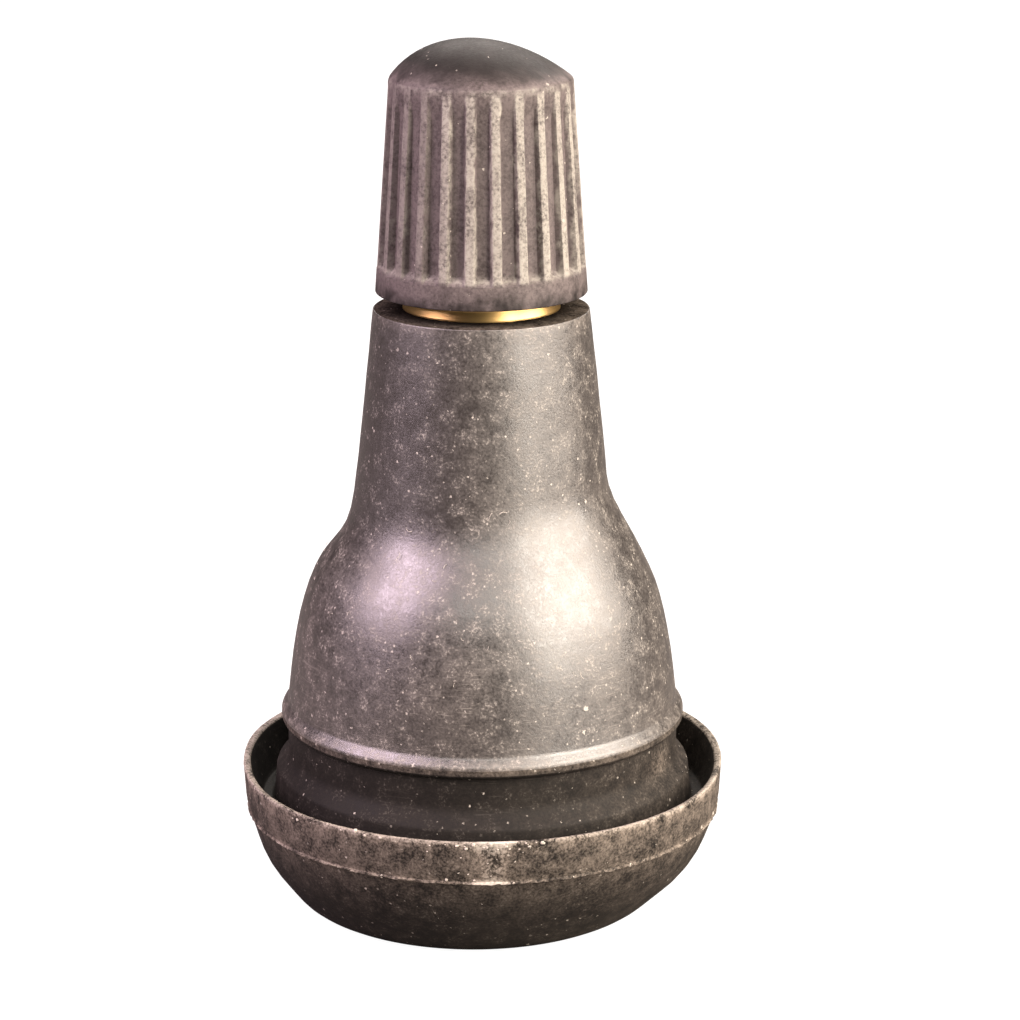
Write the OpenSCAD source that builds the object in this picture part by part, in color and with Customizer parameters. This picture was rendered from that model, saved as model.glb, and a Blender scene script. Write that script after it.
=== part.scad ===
// Bell-shaped rubber snap-in tyre valve with a ribbed plastic cap and a short valve core.
// Millimetres, +Z up along the valve's axis, origin at the centre of the flat foot.

/* [Rubber groove] */
// Diameter of the waist of the rim groove, from which the flange and the bell are sized
waist_d = 18.82; // [16:0.02:20]
// Height of the foot of the waist above the valve's foot
waist_h = 7.4; // [7.2:0.1:7.8]
// Radius of the flare at the foot of the waist
waist_round = 0.9; // [0.2:0.1:1.2]
// How far the round shoulder below the waist stands out from it
shoulder_out = 0.59; // [0.3:0.01:0.8]
// Height of that shoulder above the foot
shoulder_h = 6.7; // [6.2:0.1:7]
// Rounding of that shoulder
shoulder_round = 0.35; // [0.1:0.05:0.5]

/* [Rubber flange] */
// How far the trough's inner wall runs out from the shoulder to the trough's floor
trough_lean = 0.15; // [0.05:0.01:0.3]
// Width of the trough's floor
trough_w = 0.6; // [0.3:0.05:0.8]
// Height of the trough's floor above the foot
trough_h = 5; // [4.8:0.1:5.6]
// Rounding of the trough's floor
trough_round = 0.2; // [0.05:0.05:0.3]
// Thickness of the flange's wall between the trough's floor and the mould seam
wall_t = 0.66; // [0.4:0.02:1]
// Height of the mould seam above the foot
seam_h = 4.6; // [4:0.1:5]
// How far the top of the lip stands out past the mould seam
lip_flare = 0.24; // [0:0.02:0.6]
// Height of the lip above the foot
lip_h = 6.8; // [6.4:0.1:7.2]
// Thickness of the lip at its top
lip_t = 0.5; // [0.3:0.05:0.7]
// Rounding of the lip's edges
lip_round = 0.22; // [0.05:0.01:0.3]
// How far the bowl under the flange stands in from the mould seam where it turns steeper
bowl_inset = 0.76; // [0.3:0.02:1.4]
// Height of that turn above the foot
bowl_h = 2.6; // [1.5:0.1:3.5]
// Radius of that turn
bowl_round = 5.5; // [1:0.5:8]
// How far the edge of the flat foot stands in from that turn
foot_inset = 2.15; // [1:0.05:3]
// Rounding between the foot and the bowl
foot_round = 1.9; // [0.5:0.1:2.4]

/* [Rubber bell and neck] */
// Height of the crease between the waist and the bead
crease_h = 8.95; // [8.6:0.05:9.2]
// How far the bead round the bottom of the bell stands out from the waist
bead_out = 0.31; // [0.15:0.01:0.6]
// Thickness of the bead
bead_t = 0.85; // [0.6:0.05:1.2]
// Rounding of the bead
bead_round = 0.25; // [0.05:0.05:0.4]
// How far the bell just above the bead stands in from it
bell_inset = 0.24; // [0.1:0.02:0.5]
// How far the bell's cone runs in before it turns into the dome
dome_inset = 1.02; // [0.4:0.02:2]
// Height of that turn above the foot
dome_h = 16; // [15:0.05:17.4]
// Radius of the dome
dome_round = 13; // [3:0.5:14]
// Diameter of the neck where the dome runs into it
neck_base_d = 12.26; // [11.6:0.02:13.4]
// Height of that junction above the foot
neck_base_h = 19.75; // [18.6:0.05:21]
// Radius of the fillet at that junction
neck_base_round = 4; // [0.5:0.5:5]
// Diameter of the neck at its top
neck_top_d = 10.2; // [9.4:0.1:11.4]
// Height of the rubber body
body_h = 29.15; // [27:0.05:34]
// Rounding of the neck's top edge
neck_edge_round = 0.15; // [0.05:0.05:0.4]
// Diameter of the air inlet through the foot
inlet_d = 3.2; // [2.4:0.1:4]
// Chamfer of the air inlet
inlet_chamfer = 0.5; // [0.2:0.1:1]

/* [Stem] */
// Effective diameter of the outside thread, which the bare shank shares
thread_d = 7.2; // [6.8:0.05:7.4]
// Chamfer at the start of the outside thread
thread_chamfer = 0.45; // [0.2:0.05:0.7]
// Diameter of the shank inside the rubber
shank_d = 6.6; // [6.2:0.1:6.8]
// Depth of the step from the thread to the shank below the rubber's top
shank_step = 1.5; // [0.5:0.1:3]
// Height of the stem's foot above the valve's foot
stem_foot_h = 13; // [11:0.1:14]
// Diameter of the stem's foot
stem_foot_d = 9.2; // [8:0.1:10]
// Thickness of the stem's foot
stem_foot_t = 1.4; // [1:0.1:2]
// Number of anchor grooves round the shank
anchor_count = 3; // [1:1:4]
// Pitch of the anchor grooves
anchor_pitch = 1.6; // [1.2:0.1:2]
// Depth of the anchor grooves
anchor_depth = 0.4; // [0.2:0.05:0.5]
// Diameter of the stem's lower bore
bore_d = 3.5; // [3.4:0.05:3.8]
// Effective diameter of the thread that holds the core
core_thread_d = 4.86; // [4.7:0.02:5]
// Chamfer of the stem's mouth
mouth_chamfer = 0.25; // [0.1:0.05:0.4]
// Diameter at the top of the conical seat for the core
seat_d = 4.3; // [4.2:0.02:4.5]

/* [Cap] */
// Space between the rubber and the cap
cap_gap = 0.85; // [0.3:0.05:2]
// Height of the cap
cap_h = 11.75; // [10.8:0.05:14]
// Diameter of the cap's lower edge
cap_d = 10; // [9.6:0.1:11]
// Diameter of the cap at its shoulder
cap_shoulder_d = 8.57; // [8.4:0.01:10]
// Rounding of the cap's shoulder
cap_shoulder_round = 0.4; // [0.1:0.1:0.6]
// Height of the cap's dome
cap_dome_h = 1.85; // [1:0.05:2.6]
// Thickness of the cap above its washer
cap_top_t = 2.8; // [2.4:0.1:4]
// Rounding of the cap's lower edge
cap_edge_round = 0.15; // [0.05:0.05:0.3]
// Chamfer of the cap's mouth
cap_chamfer = 0.4; // [0.1:0.05:0.6]
// Radial clearance of the cap's thread
thread_clear = 0.1; // [0.05:0.01:0.2]
// Number of ribs round the cap
rib_count = 24; // [12:1:30]
// Turn of the first groove between the ribs
rib_phase = 1.1; // [0:0.1:15]
// Width of the floor of a groove
groove_w = 0.56; // [0.3:0.02:0.7]
// Draft angle of a groove's sides
groove_draft = 8; // [0:1:15]
// Depth of a groove at its lower end
groove_depth = 0.4; // [0.2:0.02:0.5]
// Depth of a groove at its upper end
groove_top_depth = 0.14; // [0.05:0.01:0.2]
// Height of the smooth skirt below the grooves
skirt_h = 2; // [1:0.1:3]
// Height of the smooth band between the grooves and the shoulder
band_h = 0.45; // [0.2:0.05:1]
// Thickness of the sealing washer in the cap
washer_t = 1; // [0.6:0.1:1.4]
// Radial clearance of the washer in the cap
washer_clear = 0.1; // [0.05:0.01:0.3]

/* [Core] */
// Radial clearance of the core in the stem
core_clear = 0.05; // [0.02:0.01:0.1]
// Diameter of the pin
pin_d = 1; // [0.8:0.05:1.1]
// Depth of the pin's top below the stem's rim
pin_recess = 0.4; // [0.2:0.05:0.8]
// Diameter of the pin's head
pin_head_d = 1.7; // [1.4:0.05:2]
// Thickness of the pin's head
pin_head_t = 0.45; // [0.3:0.05:0.8]
// Travel of the pin when it is pressed
pin_travel = 1.2; // [0.8:0.05:1.5]
// Clearance left under the pin's head when it is pressed
pin_head_clear = 0.3; // [0.1:0.05:0.6]
// Diameter of the collar on the pin that the spring pushes against
collar_d = 2.4; // [2.2:0.05:2.6]
// Thickness of that collar
collar_t = 0.4; // [0.3:0.05:0.6]
// Clearance between the collar and the roof of the plug
collar_clear = 0.6; // [0.2:0.05:0.9]
// Diameter of the hole for the pin in the plug
plug_hole_d = 1.3; // [1.2:0.05:1.6]
// Diameter across the two ears of the plug
ear_d = 3.8; // [3.4:0.1:4.2]
// Thickness of the ears across their flats
ear_t = 1.9; // [1.7:0.1:2.6]
// Height of the ears
ear_h = 2; // [1.4:0.1:2.6]
// Length of the plug's thread
plug_thread_l = 2.8; // [2:0.1:3.6]
// Diameter of the spring chamber in the plug and the barrel
chamber_d = 2.9; // [2.7:0.05:3.1]
// Height of the air windows between the ears
window_h = 0.8; // [0.5:0.1:1]
// Length of the barrel's head
barrel_head_l = 1.4; // [1.2:0.1:2]
// Depth of the spring's seat in the barrel's head
spring_seat_depth = 1; // [0.6:0.1:1.1]
// Diameter of the barrel's neck, which carries the gasket
barrel_neck_d = 2.9; // [2.7:0.05:3.1]
// Length of the barrel's tail below the gasket
barrel_tail_l = 1; // [0.6:0.1:1.6]
// Diameter of the barrel's tail
barrel_tail_d = 3.2; // [3.1:0.05:3.3]
// Diameter of the air passage round the pin
passage_d = 1.9; // [1.6:0.05:2.1]
// Length of the barrel's gasket
gasket_l = 1.8; // [1.2:0.1:2.4]
// Diameter of the spring's wire
wire_d = 0.25; // [0.18:0.01:0.28]
// Mean diameter of the spring's coils
coil_d = 2.1; // [1.9:0.05:2.3]
// Number of the spring's open turns
coil_turns = 5; // [3:1:6]
// Diameter of the cup on the pin's lower end
cup_d = 3; // [2.7:0.05:3.1]
// Thickness of the cup's wall and floor
cup_wall = 0.3; // [0.2:0.05:0.4]
// Thickness of the cup's gasket
cup_gasket_t = 0.8; // [0.6:0.05:1]
// How far that gasket stands out of the cup
cup_gasket_proud = 0.25; // [0.1:0.05:0.4]
// Length of the riveted end of the pin below the cup
rivet_l = 0.3; // [0.2:0.05:0.6]
// Diameter of the riveted end of the pin
rivet_d = 1.5; // [1.3:0.05:1.8]

/* [Hidden] */

// Fineness of round stretches, in degrees, and of revolved shapes
arc_step = 8;
round_fn = 96;
// Overlap that carries a cutting tool past the face it cuts
cut_past = 1;

// Levels from the cap down to the stem's rim
cap_z = body_h + cap_gap;
cap_top_z = cap_z + cap_h;
cap_shoulder_z = cap_top_z - cap_dome_h;
ceiling_z = cap_top_z - cap_top_t;
rim_z = ceiling_z - washer_t;

// Levels of the core, from the stem's rim down
pin_top_z = rim_z - pin_recess;
pin_head_z = pin_top_z - pin_head_t;
plug_top_z = pin_head_z - pin_travel - pin_head_clear;
ear_foot_z = plug_top_z - ear_h;
chamber_top_z = ear_foot_z + window_h;
plug_foot_z = ear_foot_z - plug_thread_l;
spring_seat_z = plug_foot_z - spring_seat_depth;
barrel_neck_z = plug_foot_z - barrel_head_l;
gasket_foot_z = barrel_neck_z - gasket_l;
barrel_foot_z = gasket_foot_z - barrel_tail_l;
cup_gasket_z = barrel_foot_z - cup_gasket_t;
cup_rim_z = barrel_foot_z - cup_gasket_proud;
cup_foot_z = cup_gasket_z - cup_wall;
collar_top_z = chamber_top_z - collar_clear;
collar_z = collar_top_z - collar_t;
spring_l = collar_z - spring_seat_z;

// Radii of the rubber, from the waist out to the flange and up to the dome
waist_r = waist_d / 2;
shoulder_r = waist_r + shoulder_out;
trough_r = shoulder_r + trough_lean + trough_w;
seam_r = trough_r + wall_t;
lip_r = seam_r + lip_flare;
bowl_r = seam_r - bowl_inset;
foot_r = bowl_r - foot_inset;
bead_r = waist_r + bead_out;
bell_r = bead_r - bell_inset;
dome_r = bell_r - dome_inset;

// Radii shared by pieces that fit each other
thread_r = thread_d / 2;
cap_bore_r = thread_r + thread_clear;
core_bore_r = core_thread_d / 2;
seat_r = seat_d / 2;
bore_r = bore_d / 2;
pin_r = pin_d / 2;
cup_pocket_r = cup_d / 2 - cup_wall;

rubber_grey = [0.27, 0.25, 0.25];
cap_grey = [0.38, 0.35, 0.35];
brass_gold = [0.80, 0.62, 0.28];
steel_grey = [0.66, 0.66, 0.67];
seal_black = [0.10, 0.10, 0.10];
ptfe_white = [0.88, 0.87, 0.84];

// An outline is a list of [radius, height, rounding] points.
function flat_point(p) = [p[0], p[1]];
function unit(v) = v / norm(v);
function corner_arc(centre, radius, start, turn) =
    let (steps = max(2, ceil(abs(turn) / arc_step)))
    [for (i = [0 : steps]) centre + radius * [cos(start + turn * i / steps), sin(start + turn * i / steps)]];
// A corner's arc never reaches past the middle of the shorter side beside it.
function round_corner(before, at, after, rounding) =
    let (u = unit(before - at),
         w = unit(after - at),
         half = acos(u * w) / 2,
         reach = min(rounding / tan(half), 0.48 * min(norm(before - at), norm(after - at))),
         centre = at + unit(u + w) * reach / cos(half),
         first = at + u * reach - centre,
         last = at + w * reach - centre,
         start = atan2(first[1], first[0]),
         end = atan2(last[1], last[0]))
    corner_arc(centre, norm(first), start, (end - start + 540) % 360 - 180);
function rounded(outline) =
    [for (i = [0 : len(outline) - 1])
        each outline[i][2] > 0
            ? round_corner(flat_point(outline[i - 1]), flat_point(outline[i]), flat_point(outline[i + 1]),
                           outline[i][2])
            : [flat_point(outline[i])]];

module revolve(outline) {
    rotate_extrude($fn = round_fn)
        polygon(rounded(outline));
}

// The stem's outside below the rubber's top, which is also the hollow in the rubber.
function shank_outline() =
    let (shank_r = shank_d / 2,
         flange_r = stem_foot_d / 2,
         foot_top_z = stem_foot_h + stem_foot_t,
         land = anchor_pitch / 4)
    concat(
        [[flange_r, stem_foot_h, 0], [flange_r, foot_top_z, 0], [shank_r, foot_top_z + flange_r - shank_r, 0]],
        [for (i = [1 : anchor_count])
            let (z = foot_top_z + flange_r - shank_r + i * anchor_pitch)
            each [[shank_r, z - land - anchor_depth, 0], [shank_r - anchor_depth, z - land, 0],
                  [shank_r - anchor_depth, z + land, 0], [shank_r, z + land + anchor_depth, 0]]],
        [[shank_r, body_h - shank_step - thread_r + shank_r, 0], [thread_r, body_h - shank_step, 0],
         [thread_r, body_h, 0]]);
function reversed(list) = [for (i = [len(list) - 1 : -1 : 0]) list[i]];

module rubber_body() {
    inlet_r = inlet_d / 2;
    bead_top_h = crease_h + bead_t + bead_round;
    color(rubber_grey)
        revolve(concat(
            [[inlet_r + inlet_chamfer, 0, 0],
             [foot_r, 0, foot_round],
             [bowl_r, bowl_h, bowl_round],
             [seam_r, seam_h, 0],
             [lip_r, lip_h, lip_round],
             [lip_r - lip_t, lip_h, lip_round],
             [trough_r, trough_h, trough_round],
             [trough_r - trough_w, trough_h, trough_round],
             [shoulder_r, shoulder_h, shoulder_round],
             [waist_r, waist_h, waist_round],
             [waist_r, crease_h, 0],
             [bead_r, crease_h + bead_round / 2, bead_round],
             [bead_r, crease_h + bead_t, bead_round],
             [bell_r, bead_top_h, 0],
             [dome_r, dome_h, dome_round],
             [neck_base_d / 2, neck_base_h, neck_base_round],
             [neck_top_d / 2, body_h, neck_edge_round]],
            reversed(shank_outline()),
            [[inlet_r, stem_foot_h, 0],
             [inlet_r, inlet_chamfer, 0]]));
}

module stem() {
    thread_foot_z = plug_foot_z - core_clear;
    color(brass_gold)
        revolve(concat(
            [[bore_r, stem_foot_h, 0]],
            shank_outline(),
            [[thread_r, rim_z - thread_chamfer, 0],
             [thread_r - thread_chamfer, rim_z, 0],
             [core_bore_r + mouth_chamfer, rim_z, 0],
             [core_bore_r, rim_z - mouth_chamfer, 0],
             [core_bore_r, thread_foot_z, 0],
             [seat_r, thread_foot_z - (core_bore_r - seat_r), 0],
             [seat_r, barrel_neck_z, 0],
             [bore_r, gasket_foot_z, 0]]));
}

// Radius of the cap's outer cone at a height
function cap_r(z) = (cap_d + (cap_shoulder_d - cap_d) * (z - cap_z) / (cap_shoulder_z - cap_z)) / 2;

// The tool that cuts one groove leans in with the groove's floor.
module cap_groove() {
    low_z = cap_z + skirt_h;
    top_z = cap_shoulder_z - band_h;
    low_r = cap_r(low_z) - groove_depth;
    top_r = cap_r(top_z) - groove_top_depth;
    flare = cut_past * tan(groove_draft);
    translate([low_r, 0, low_z])
        rotate([0, atan2(top_r - low_r, top_z - low_z), 0])
            linear_extrude(height = norm([top_r - low_r, top_z - low_z]))
                polygon([[0, -groove_w / 2], [cut_past, -groove_w / 2 - flare],
                         [cut_past, groove_w / 2 + flare], [0, groove_w / 2]]);
}

module cap() {
    edge_r = cap_shoulder_d / 2;
    sphere_r = (pow(edge_r, 2) + pow(cap_dome_h, 2)) / (2 * cap_dome_h);
    dome_turn = atan2(edge_r, sphere_r - cap_dome_h);
    dome_steps = ceil(dome_turn / arc_step);
    color(cap_grey)
        difference() {
            revolve(concat(
                [[cap_bore_r, cap_z + cap_chamfer, 0],
                 [cap_bore_r + cap_chamfer, cap_z, 0],
                 [cap_d / 2, cap_z, cap_edge_round],
                 [edge_r, cap_shoulder_z, cap_shoulder_round]],
                [for (i = [1 : dome_steps])
                    let (turn = dome_turn * (1 - i / dome_steps))
                    [sphere_r * sin(turn), cap_top_z - sphere_r * (1 - cos(turn)), 0]],
                [[0, ceiling_z, 0],
                 [cap_bore_r, ceiling_z, 0]]));
            for (i = [0 : rib_count - 1])
                rotate(rib_phase + i * 360 / rib_count)
                    cap_groove();
        }
}

module cap_washer() {
    color(seal_black)
        translate([0, 0, rim_z])
            cylinder(r = cap_bore_r - washer_clear, h = washer_t, $fn = round_fn);
}

// The chamber breaks through the flats of the ears, which leaves a window on each side.
module core_plug() {
    plug_r = core_bore_r - core_clear;
    color(brass_gold)
        difference() {
            union() {
                translate([0, 0, plug_foot_z])
                    cylinder(r = plug_r, h = plug_thread_l, $fn = round_fn);
                intersection() {
                    translate([0, 0, ear_foot_z])
                        cylinder(d = ear_d, h = ear_h, $fn = round_fn);
                    translate([-ear_d, -ear_t / 2, ear_foot_z])
                        cube([2 * ear_d, ear_t, ear_h]);
                }
            }
            translate([0, 0, plug_foot_z - cut_past])
                cylinder(d = chamber_d, h = chamber_top_z - plug_foot_z + cut_past, $fn = round_fn);
            translate([0, 0, plug_foot_z])
                cylinder(d = plug_hole_d, h = plug_top_z - plug_foot_z + cut_past, $fn = round_fn);
        }
}

module core_barrel() {
    head_r = seat_r - core_clear;
    color(brass_gold)
        revolve([
            [passage_d / 2, barrel_foot_z, 0],
            [barrel_tail_d / 2, barrel_foot_z, 0],
            [barrel_tail_d / 2, gasket_foot_z, 0],
            [barrel_neck_d / 2, gasket_foot_z, 0],
            [barrel_neck_d / 2, barrel_neck_z, 0],
            [head_r, barrel_neck_z, 0],
            [head_r, plug_foot_z, 0],
            [chamber_d / 2, plug_foot_z, 0],
            [chamber_d / 2, spring_seat_z, 0],
            [passage_d / 2, spring_seat_z, 0]]);
}

// The gasket fills the space between the barrel's neck and the conical seat in the stem.
module barrel_gasket() {
    color(ptfe_white)
        revolve([
            [barrel_neck_d / 2, gasket_foot_z, 0],
            [bore_r, gasket_foot_z, 0],
            [seat_r, barrel_neck_z, 0],
            [barrel_neck_d / 2, barrel_neck_z, 0]]);
}

// The spring is a wire swept along a helix, with a closed turn at each end.
module core_spring() {
    wire_sides = 8;
    turn_steps = 14;
    closed_rise = wire_d;
    open_rise = spring_l - wire_d - 2 * closed_rise;
    turns = coil_turns + 2;
    rings = turns * turn_steps;
    function rise(t) = closed_rise * (min(t, 1) + max(t - turns + 1, 0))
        + open_rise * min(max(t - 1, 0), coil_turns) / coil_turns;
    points = [for (i = [0 : rings], j = [0 : wire_sides - 1])
        let (t = i / turn_steps,
             side = 360 * j / wire_sides,
             r = coil_d / 2 + wire_d / 2 * cos(side))
        [r * cos(360 * t), r * sin(360 * t), spring_seat_z + wire_d / 2 * (1 + sin(side)) + rise(t)]];
    function ring_point(i, j) = i * wire_sides + j % wire_sides;
    walls = [for (i = [0 : rings - 1], j = [0 : wire_sides - 1])
        each [[ring_point(i, j), ring_point(i + 1, j), ring_point(i + 1, j + 1)],
              [ring_point(i, j), ring_point(i + 1, j + 1), ring_point(i, j + 1)]]];
    start_face = [for (j = [0 : wire_sides - 1]) ring_point(0, j)];
    end_face = [for (j = [wire_sides - 1 : -1 : 0]) ring_point(rings, j)];
    color(steel_grey)
        polyhedron(points, concat(walls, [start_face, end_face]));
}

module core_pin() {
    rivet_foot_z = cup_foot_z - rivet_l;
    color(brass_gold)
        revolve([
            [0, rivet_foot_z, 0],
            [rivet_d / 2, rivet_foot_z, 0],
            [rivet_d / 2, cup_foot_z, 0],
            [pin_r, cup_foot_z, 0],
            [pin_r, collar_z, 0],
            [collar_d / 2, collar_z, 0],
            [collar_d / 2, collar_top_z, 0],
            [pin_r, collar_top_z, 0],
            [pin_r, pin_head_z, 0],
            [pin_head_d / 2, pin_head_z, 0],
            [pin_head_d / 2, pin_top_z, pin_head_t / 3],
            [0, pin_top_z, 0]]);
}

module plunger_cup() {
    color(brass_gold)
        revolve([
            [pin_r, cup_foot_z, 0],
            [cup_d / 2, cup_foot_z, cup_wall / 2],
            [cup_d / 2, cup_rim_z, 0],
            [cup_pocket_r, cup_rim_z, 0],
            [cup_pocket_r, cup_gasket_z, 0],
            [pin_r, cup_gasket_z, 0]]);
}

module cup_gasket() {
    color(seal_black)
        revolve([
            [pin_r, cup_gasket_z, 0],
            [cup_pocket_r, cup_gasket_z, 0],
            [cup_pocket_r, barrel_foot_z, 0],
            [pin_r, barrel_foot_z, 0]]);
}

rubber_body();
stem();
cap();
cap_washer();
core_plug();
core_barrel();
barrel_gasket();
core_spring();
core_pin();
plunger_cup();
cup_gasket();
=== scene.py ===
"""Bell-shaped rubber tyre valve with a brass stem, a sprung core and a ribbed plastic cap.

Laid out as a Blender add-on and run as a script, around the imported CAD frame. All lengths are metres.
"""

import math
import random

import bmesh
import bpy
from mathutils import Matrix, Quaternion, Vector, noise


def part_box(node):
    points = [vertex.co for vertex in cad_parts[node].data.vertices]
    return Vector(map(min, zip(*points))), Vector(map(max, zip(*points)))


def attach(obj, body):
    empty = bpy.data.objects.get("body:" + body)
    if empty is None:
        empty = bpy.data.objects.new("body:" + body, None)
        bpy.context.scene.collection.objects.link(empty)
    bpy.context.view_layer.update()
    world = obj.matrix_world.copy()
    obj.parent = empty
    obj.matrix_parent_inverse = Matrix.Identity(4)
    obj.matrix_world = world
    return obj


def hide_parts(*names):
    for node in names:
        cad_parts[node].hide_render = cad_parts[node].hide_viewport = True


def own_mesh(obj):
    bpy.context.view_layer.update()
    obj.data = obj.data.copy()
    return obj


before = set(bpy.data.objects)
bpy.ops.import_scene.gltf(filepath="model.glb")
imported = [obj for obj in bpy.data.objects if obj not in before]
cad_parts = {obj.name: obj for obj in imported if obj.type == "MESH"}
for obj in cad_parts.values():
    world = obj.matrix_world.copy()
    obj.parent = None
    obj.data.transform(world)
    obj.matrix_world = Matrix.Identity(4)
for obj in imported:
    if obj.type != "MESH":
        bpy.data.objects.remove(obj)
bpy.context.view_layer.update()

bl_info = {
    "name": "Tyre Valve",
    "version": (1, 0, 0),
    "blender": (4, 5, 0),
    "location": "3D View > Sidebar > Tyre Valve",
    "description": "Builds a rubber tyre valve with its brass stem, core and ribbed cap",
    "category": "Add Mesh",
}

MM = 0.001
WELD = 0.0004 * MM
ARC_STEP = math.radians(9)
# A rib of the cap falls away between these shares of the way from its middle to the groove's
RIB_FLANK = (0.3, 0.52)


def linear(hex_colour):
    """Turns an sRGB hex colour into linear RGBA."""
    channels = [int(hex_colour[i:i + 2], 16) / 255 for i in (1, 3, 5)]
    return [c / 12.92 if c <= 0.04045 else ((c + 0.055) / 1.055) ** 2.4 for c in channels] + [1]


def length(name, description, size):
    """A property for a length, with its default in metres."""
    return bpy.props.FloatProperty(
        name=name, description=description, default=size, min=0, precision=5, unit="LENGTH"
    )


def tint(name, description, hex_colour):
    """A property for a colour, with its default as sRGB hex."""
    return bpy.props.FloatVectorProperty(
        name=name, description=description, default=linear(hex_colour), size=4, min=0, max=1, subtype="COLOR"
    )


def span(node):
    """Lowest level, highest level and outer radius of a CAD node."""
    low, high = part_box(node)
    return low.z, high.z, high.x


class ValveRubberSizes(bpy.types.PropertyGroup):
    """Sizes of the rubber body."""

    waist_r: length("Waist", "Radius of the waist of the rim groove", 9.41 * MM)
    waist_h: length("Waist foot", "Height of the foot of the waist", 7.4 * MM)
    shoulder_r: length("Shoulder", "Radius of the round shoulder below the waist", 10 * MM)
    shoulder_h: length("Shoulder height", "Height of that shoulder", 6.7 * MM)
    trough_r: length("Trough", "Radius of the outer side of the trough's floor", 10.75 * MM)
    trough_w: length("Trough width", "Width of the trough's floor", 0.6 * MM)
    trough_h: length("Trough height", "Height of the trough's floor", 5 * MM)
    lip_r: length("Lip", "Radius of the flange at its lip before rounding", 11.62 * MM)
    lip_h: length("Lip height", "Height of the lip", 6.8 * MM)
    lip_t: length("Lip thickness", "Thickness of the lip at its top", 0.35 * MM)
    seam_r: length("Seam", "Radius of the flange at the mould seam", 11.41 * MM)
    seam_h: length("Seam height", "Height of the mould seam", 4.7 * MM)
    flash: length("Flash", "How far the flash stands out of the mould seam", 0.06 * MM)
    bowl_r: length("Bowl", "Radius of the bowl where it turns steeper", 10.65 * MM)
    bowl_h: length("Bowl height", "Height of that turn", 2.6 * MM)
    foot_r: length("Foot", "Radius of the flat foot", 8.45 * MM)
    crease_h: length("Crease", "Height of the crease below the bead", 9.02 * MM)
    bead_r: length("Bead", "Radius of the bead round the bell", 9.72 * MM)
    bead_t: length("Bead thickness", "Thickness of the bead", 0.8 * MM)
    bell_r: length("Bell", "Radius of the bell just above the bead", 9.48 * MM)
    neck_base_r: length("Neck base", "Radius of the neck where the dome runs into it", 6.16 * MM)
    neck_base_h: length("Neck base height", "Height of that junction", 19.45 * MM)
    neck_top_r: length("Neck top", "Radius of the neck at its top", 5.1 * MM)
    neck_tilt: length("Neck tilt", "How much the neck's base rises from its middle to its right", 0.5 * MM)
    neck_lean: length("Neck lean", "How far the neck's base sits to the left of the axis", 0.1 * MM)
    lip_rise: length("Lip rise", "How much higher the lip stands at the back", 0.4 * MM)
    foot_lean: length("Foot lean", "How far the foot sits to the left of the axis", 0.38 * MM)
    inlet_r: length("Inlet", "Radius of the air inlet through the foot", 1.6 * MM)


class ValveStemSizes(bpy.types.PropertyGroup):
    """Sizes of the stem and its threads."""

    neck_r: length("Neck", "Radius of the bare neck below the thread", 3.6 * MM)
    neck_depth: length("Neck depth", "How far the neck reaches into the rubber", 1.5 * MM)
    step_h: length("Step height", "Height of the step from the neck to the shank", 0.3 * MM)
    foot_h: length("Foot height", "Height of the stem's wide foot", 1.4 * MM)
    rim_inset: length("Rim inset", "How far the rim's edge lies inside the thread's root", 0.12 * MM)
    collar: length("Collar", "How far the collar stands out of the neck above the rubber", 0.11 * MM)
    crest_r: length("Thread crest", "Outer radius of the valve thread", 3.84 * MM)
    root_r: length("Thread root", "Root radius of the valve thread", 3.36 * MM)
    pitch: length("Thread pitch", "Pitch of the valve thread, 32 to the inch", 0.79375 * MM)
    thread_start: length("Thread start", "Start of the valve thread above the cap's lower edge", 0.35 * MM)
    shank_r: length("Shank", "Radius of the shank inside the rubber", 3.3 * MM)
    bore_r: length("Bore", "Radius of the lower bore", 1.75 * MM)
    core_r: length("Core bore", "Radius of the bore that holds the core", 2.43 * MM)
    core_pitch: length("Core pitch", "Pitch of the core's thread, 36 to the inch", 0.70556 * MM)
    seat_r: length("Cone top", "Radius at the top of the cone that the core seals on", 2.15 * MM)


class ValveCoreSizes(bpy.types.PropertyGroup):
    """Sizes of the core."""

    pin_r: length("Pin", "Radius of the pin", 0.5 * MM)
    pin_foot_r: length("Pin foot", "Radius of the pin's foot below the cup", 0.75 * MM)
    pin_head_r: length("Pin head", "Radius of the pin's head", 0.85 * MM)
    pin_head_h: length("Head height", "Height of the pin's head", 0.45 * MM)
    collar_h: length("Collar height", "Height of the pin's spring collar", 0.4 * MM)
    barrel_r: length("Barrel", "Radius of the barrel below its gasket", 1.6 * MM)
    neck_r: length("Barrel neck", "Radius of the barrel inside its gasket", 1.45 * MM)
    air_r: length("Air way", "Radius of the way for the air through the barrel", 0.95 * MM)
    chamber_r: length("Chamber", "Radius of the spring's chamber in barrel and plug", 1.45 * MM)
    ear_r: length("Ears", "Radius of the plug's ears", 1.9 * MM)
    ear_h: length("Ear height", "Height of the plug's ears", 2 * MM)
    ear_w: length("Ear width", "Width of the ears between the flats", 1.9 * MM)
    guide_r: length("Guide", "Radius of the hole that guides the pin", 0.65 * MM)
    thread_h: length("Thread height", "Height of the plug's thread", 0.16 * MM)
    wire_r: length("Wire", "Radius of the spring's wire", 0.125 * MM)


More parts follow.
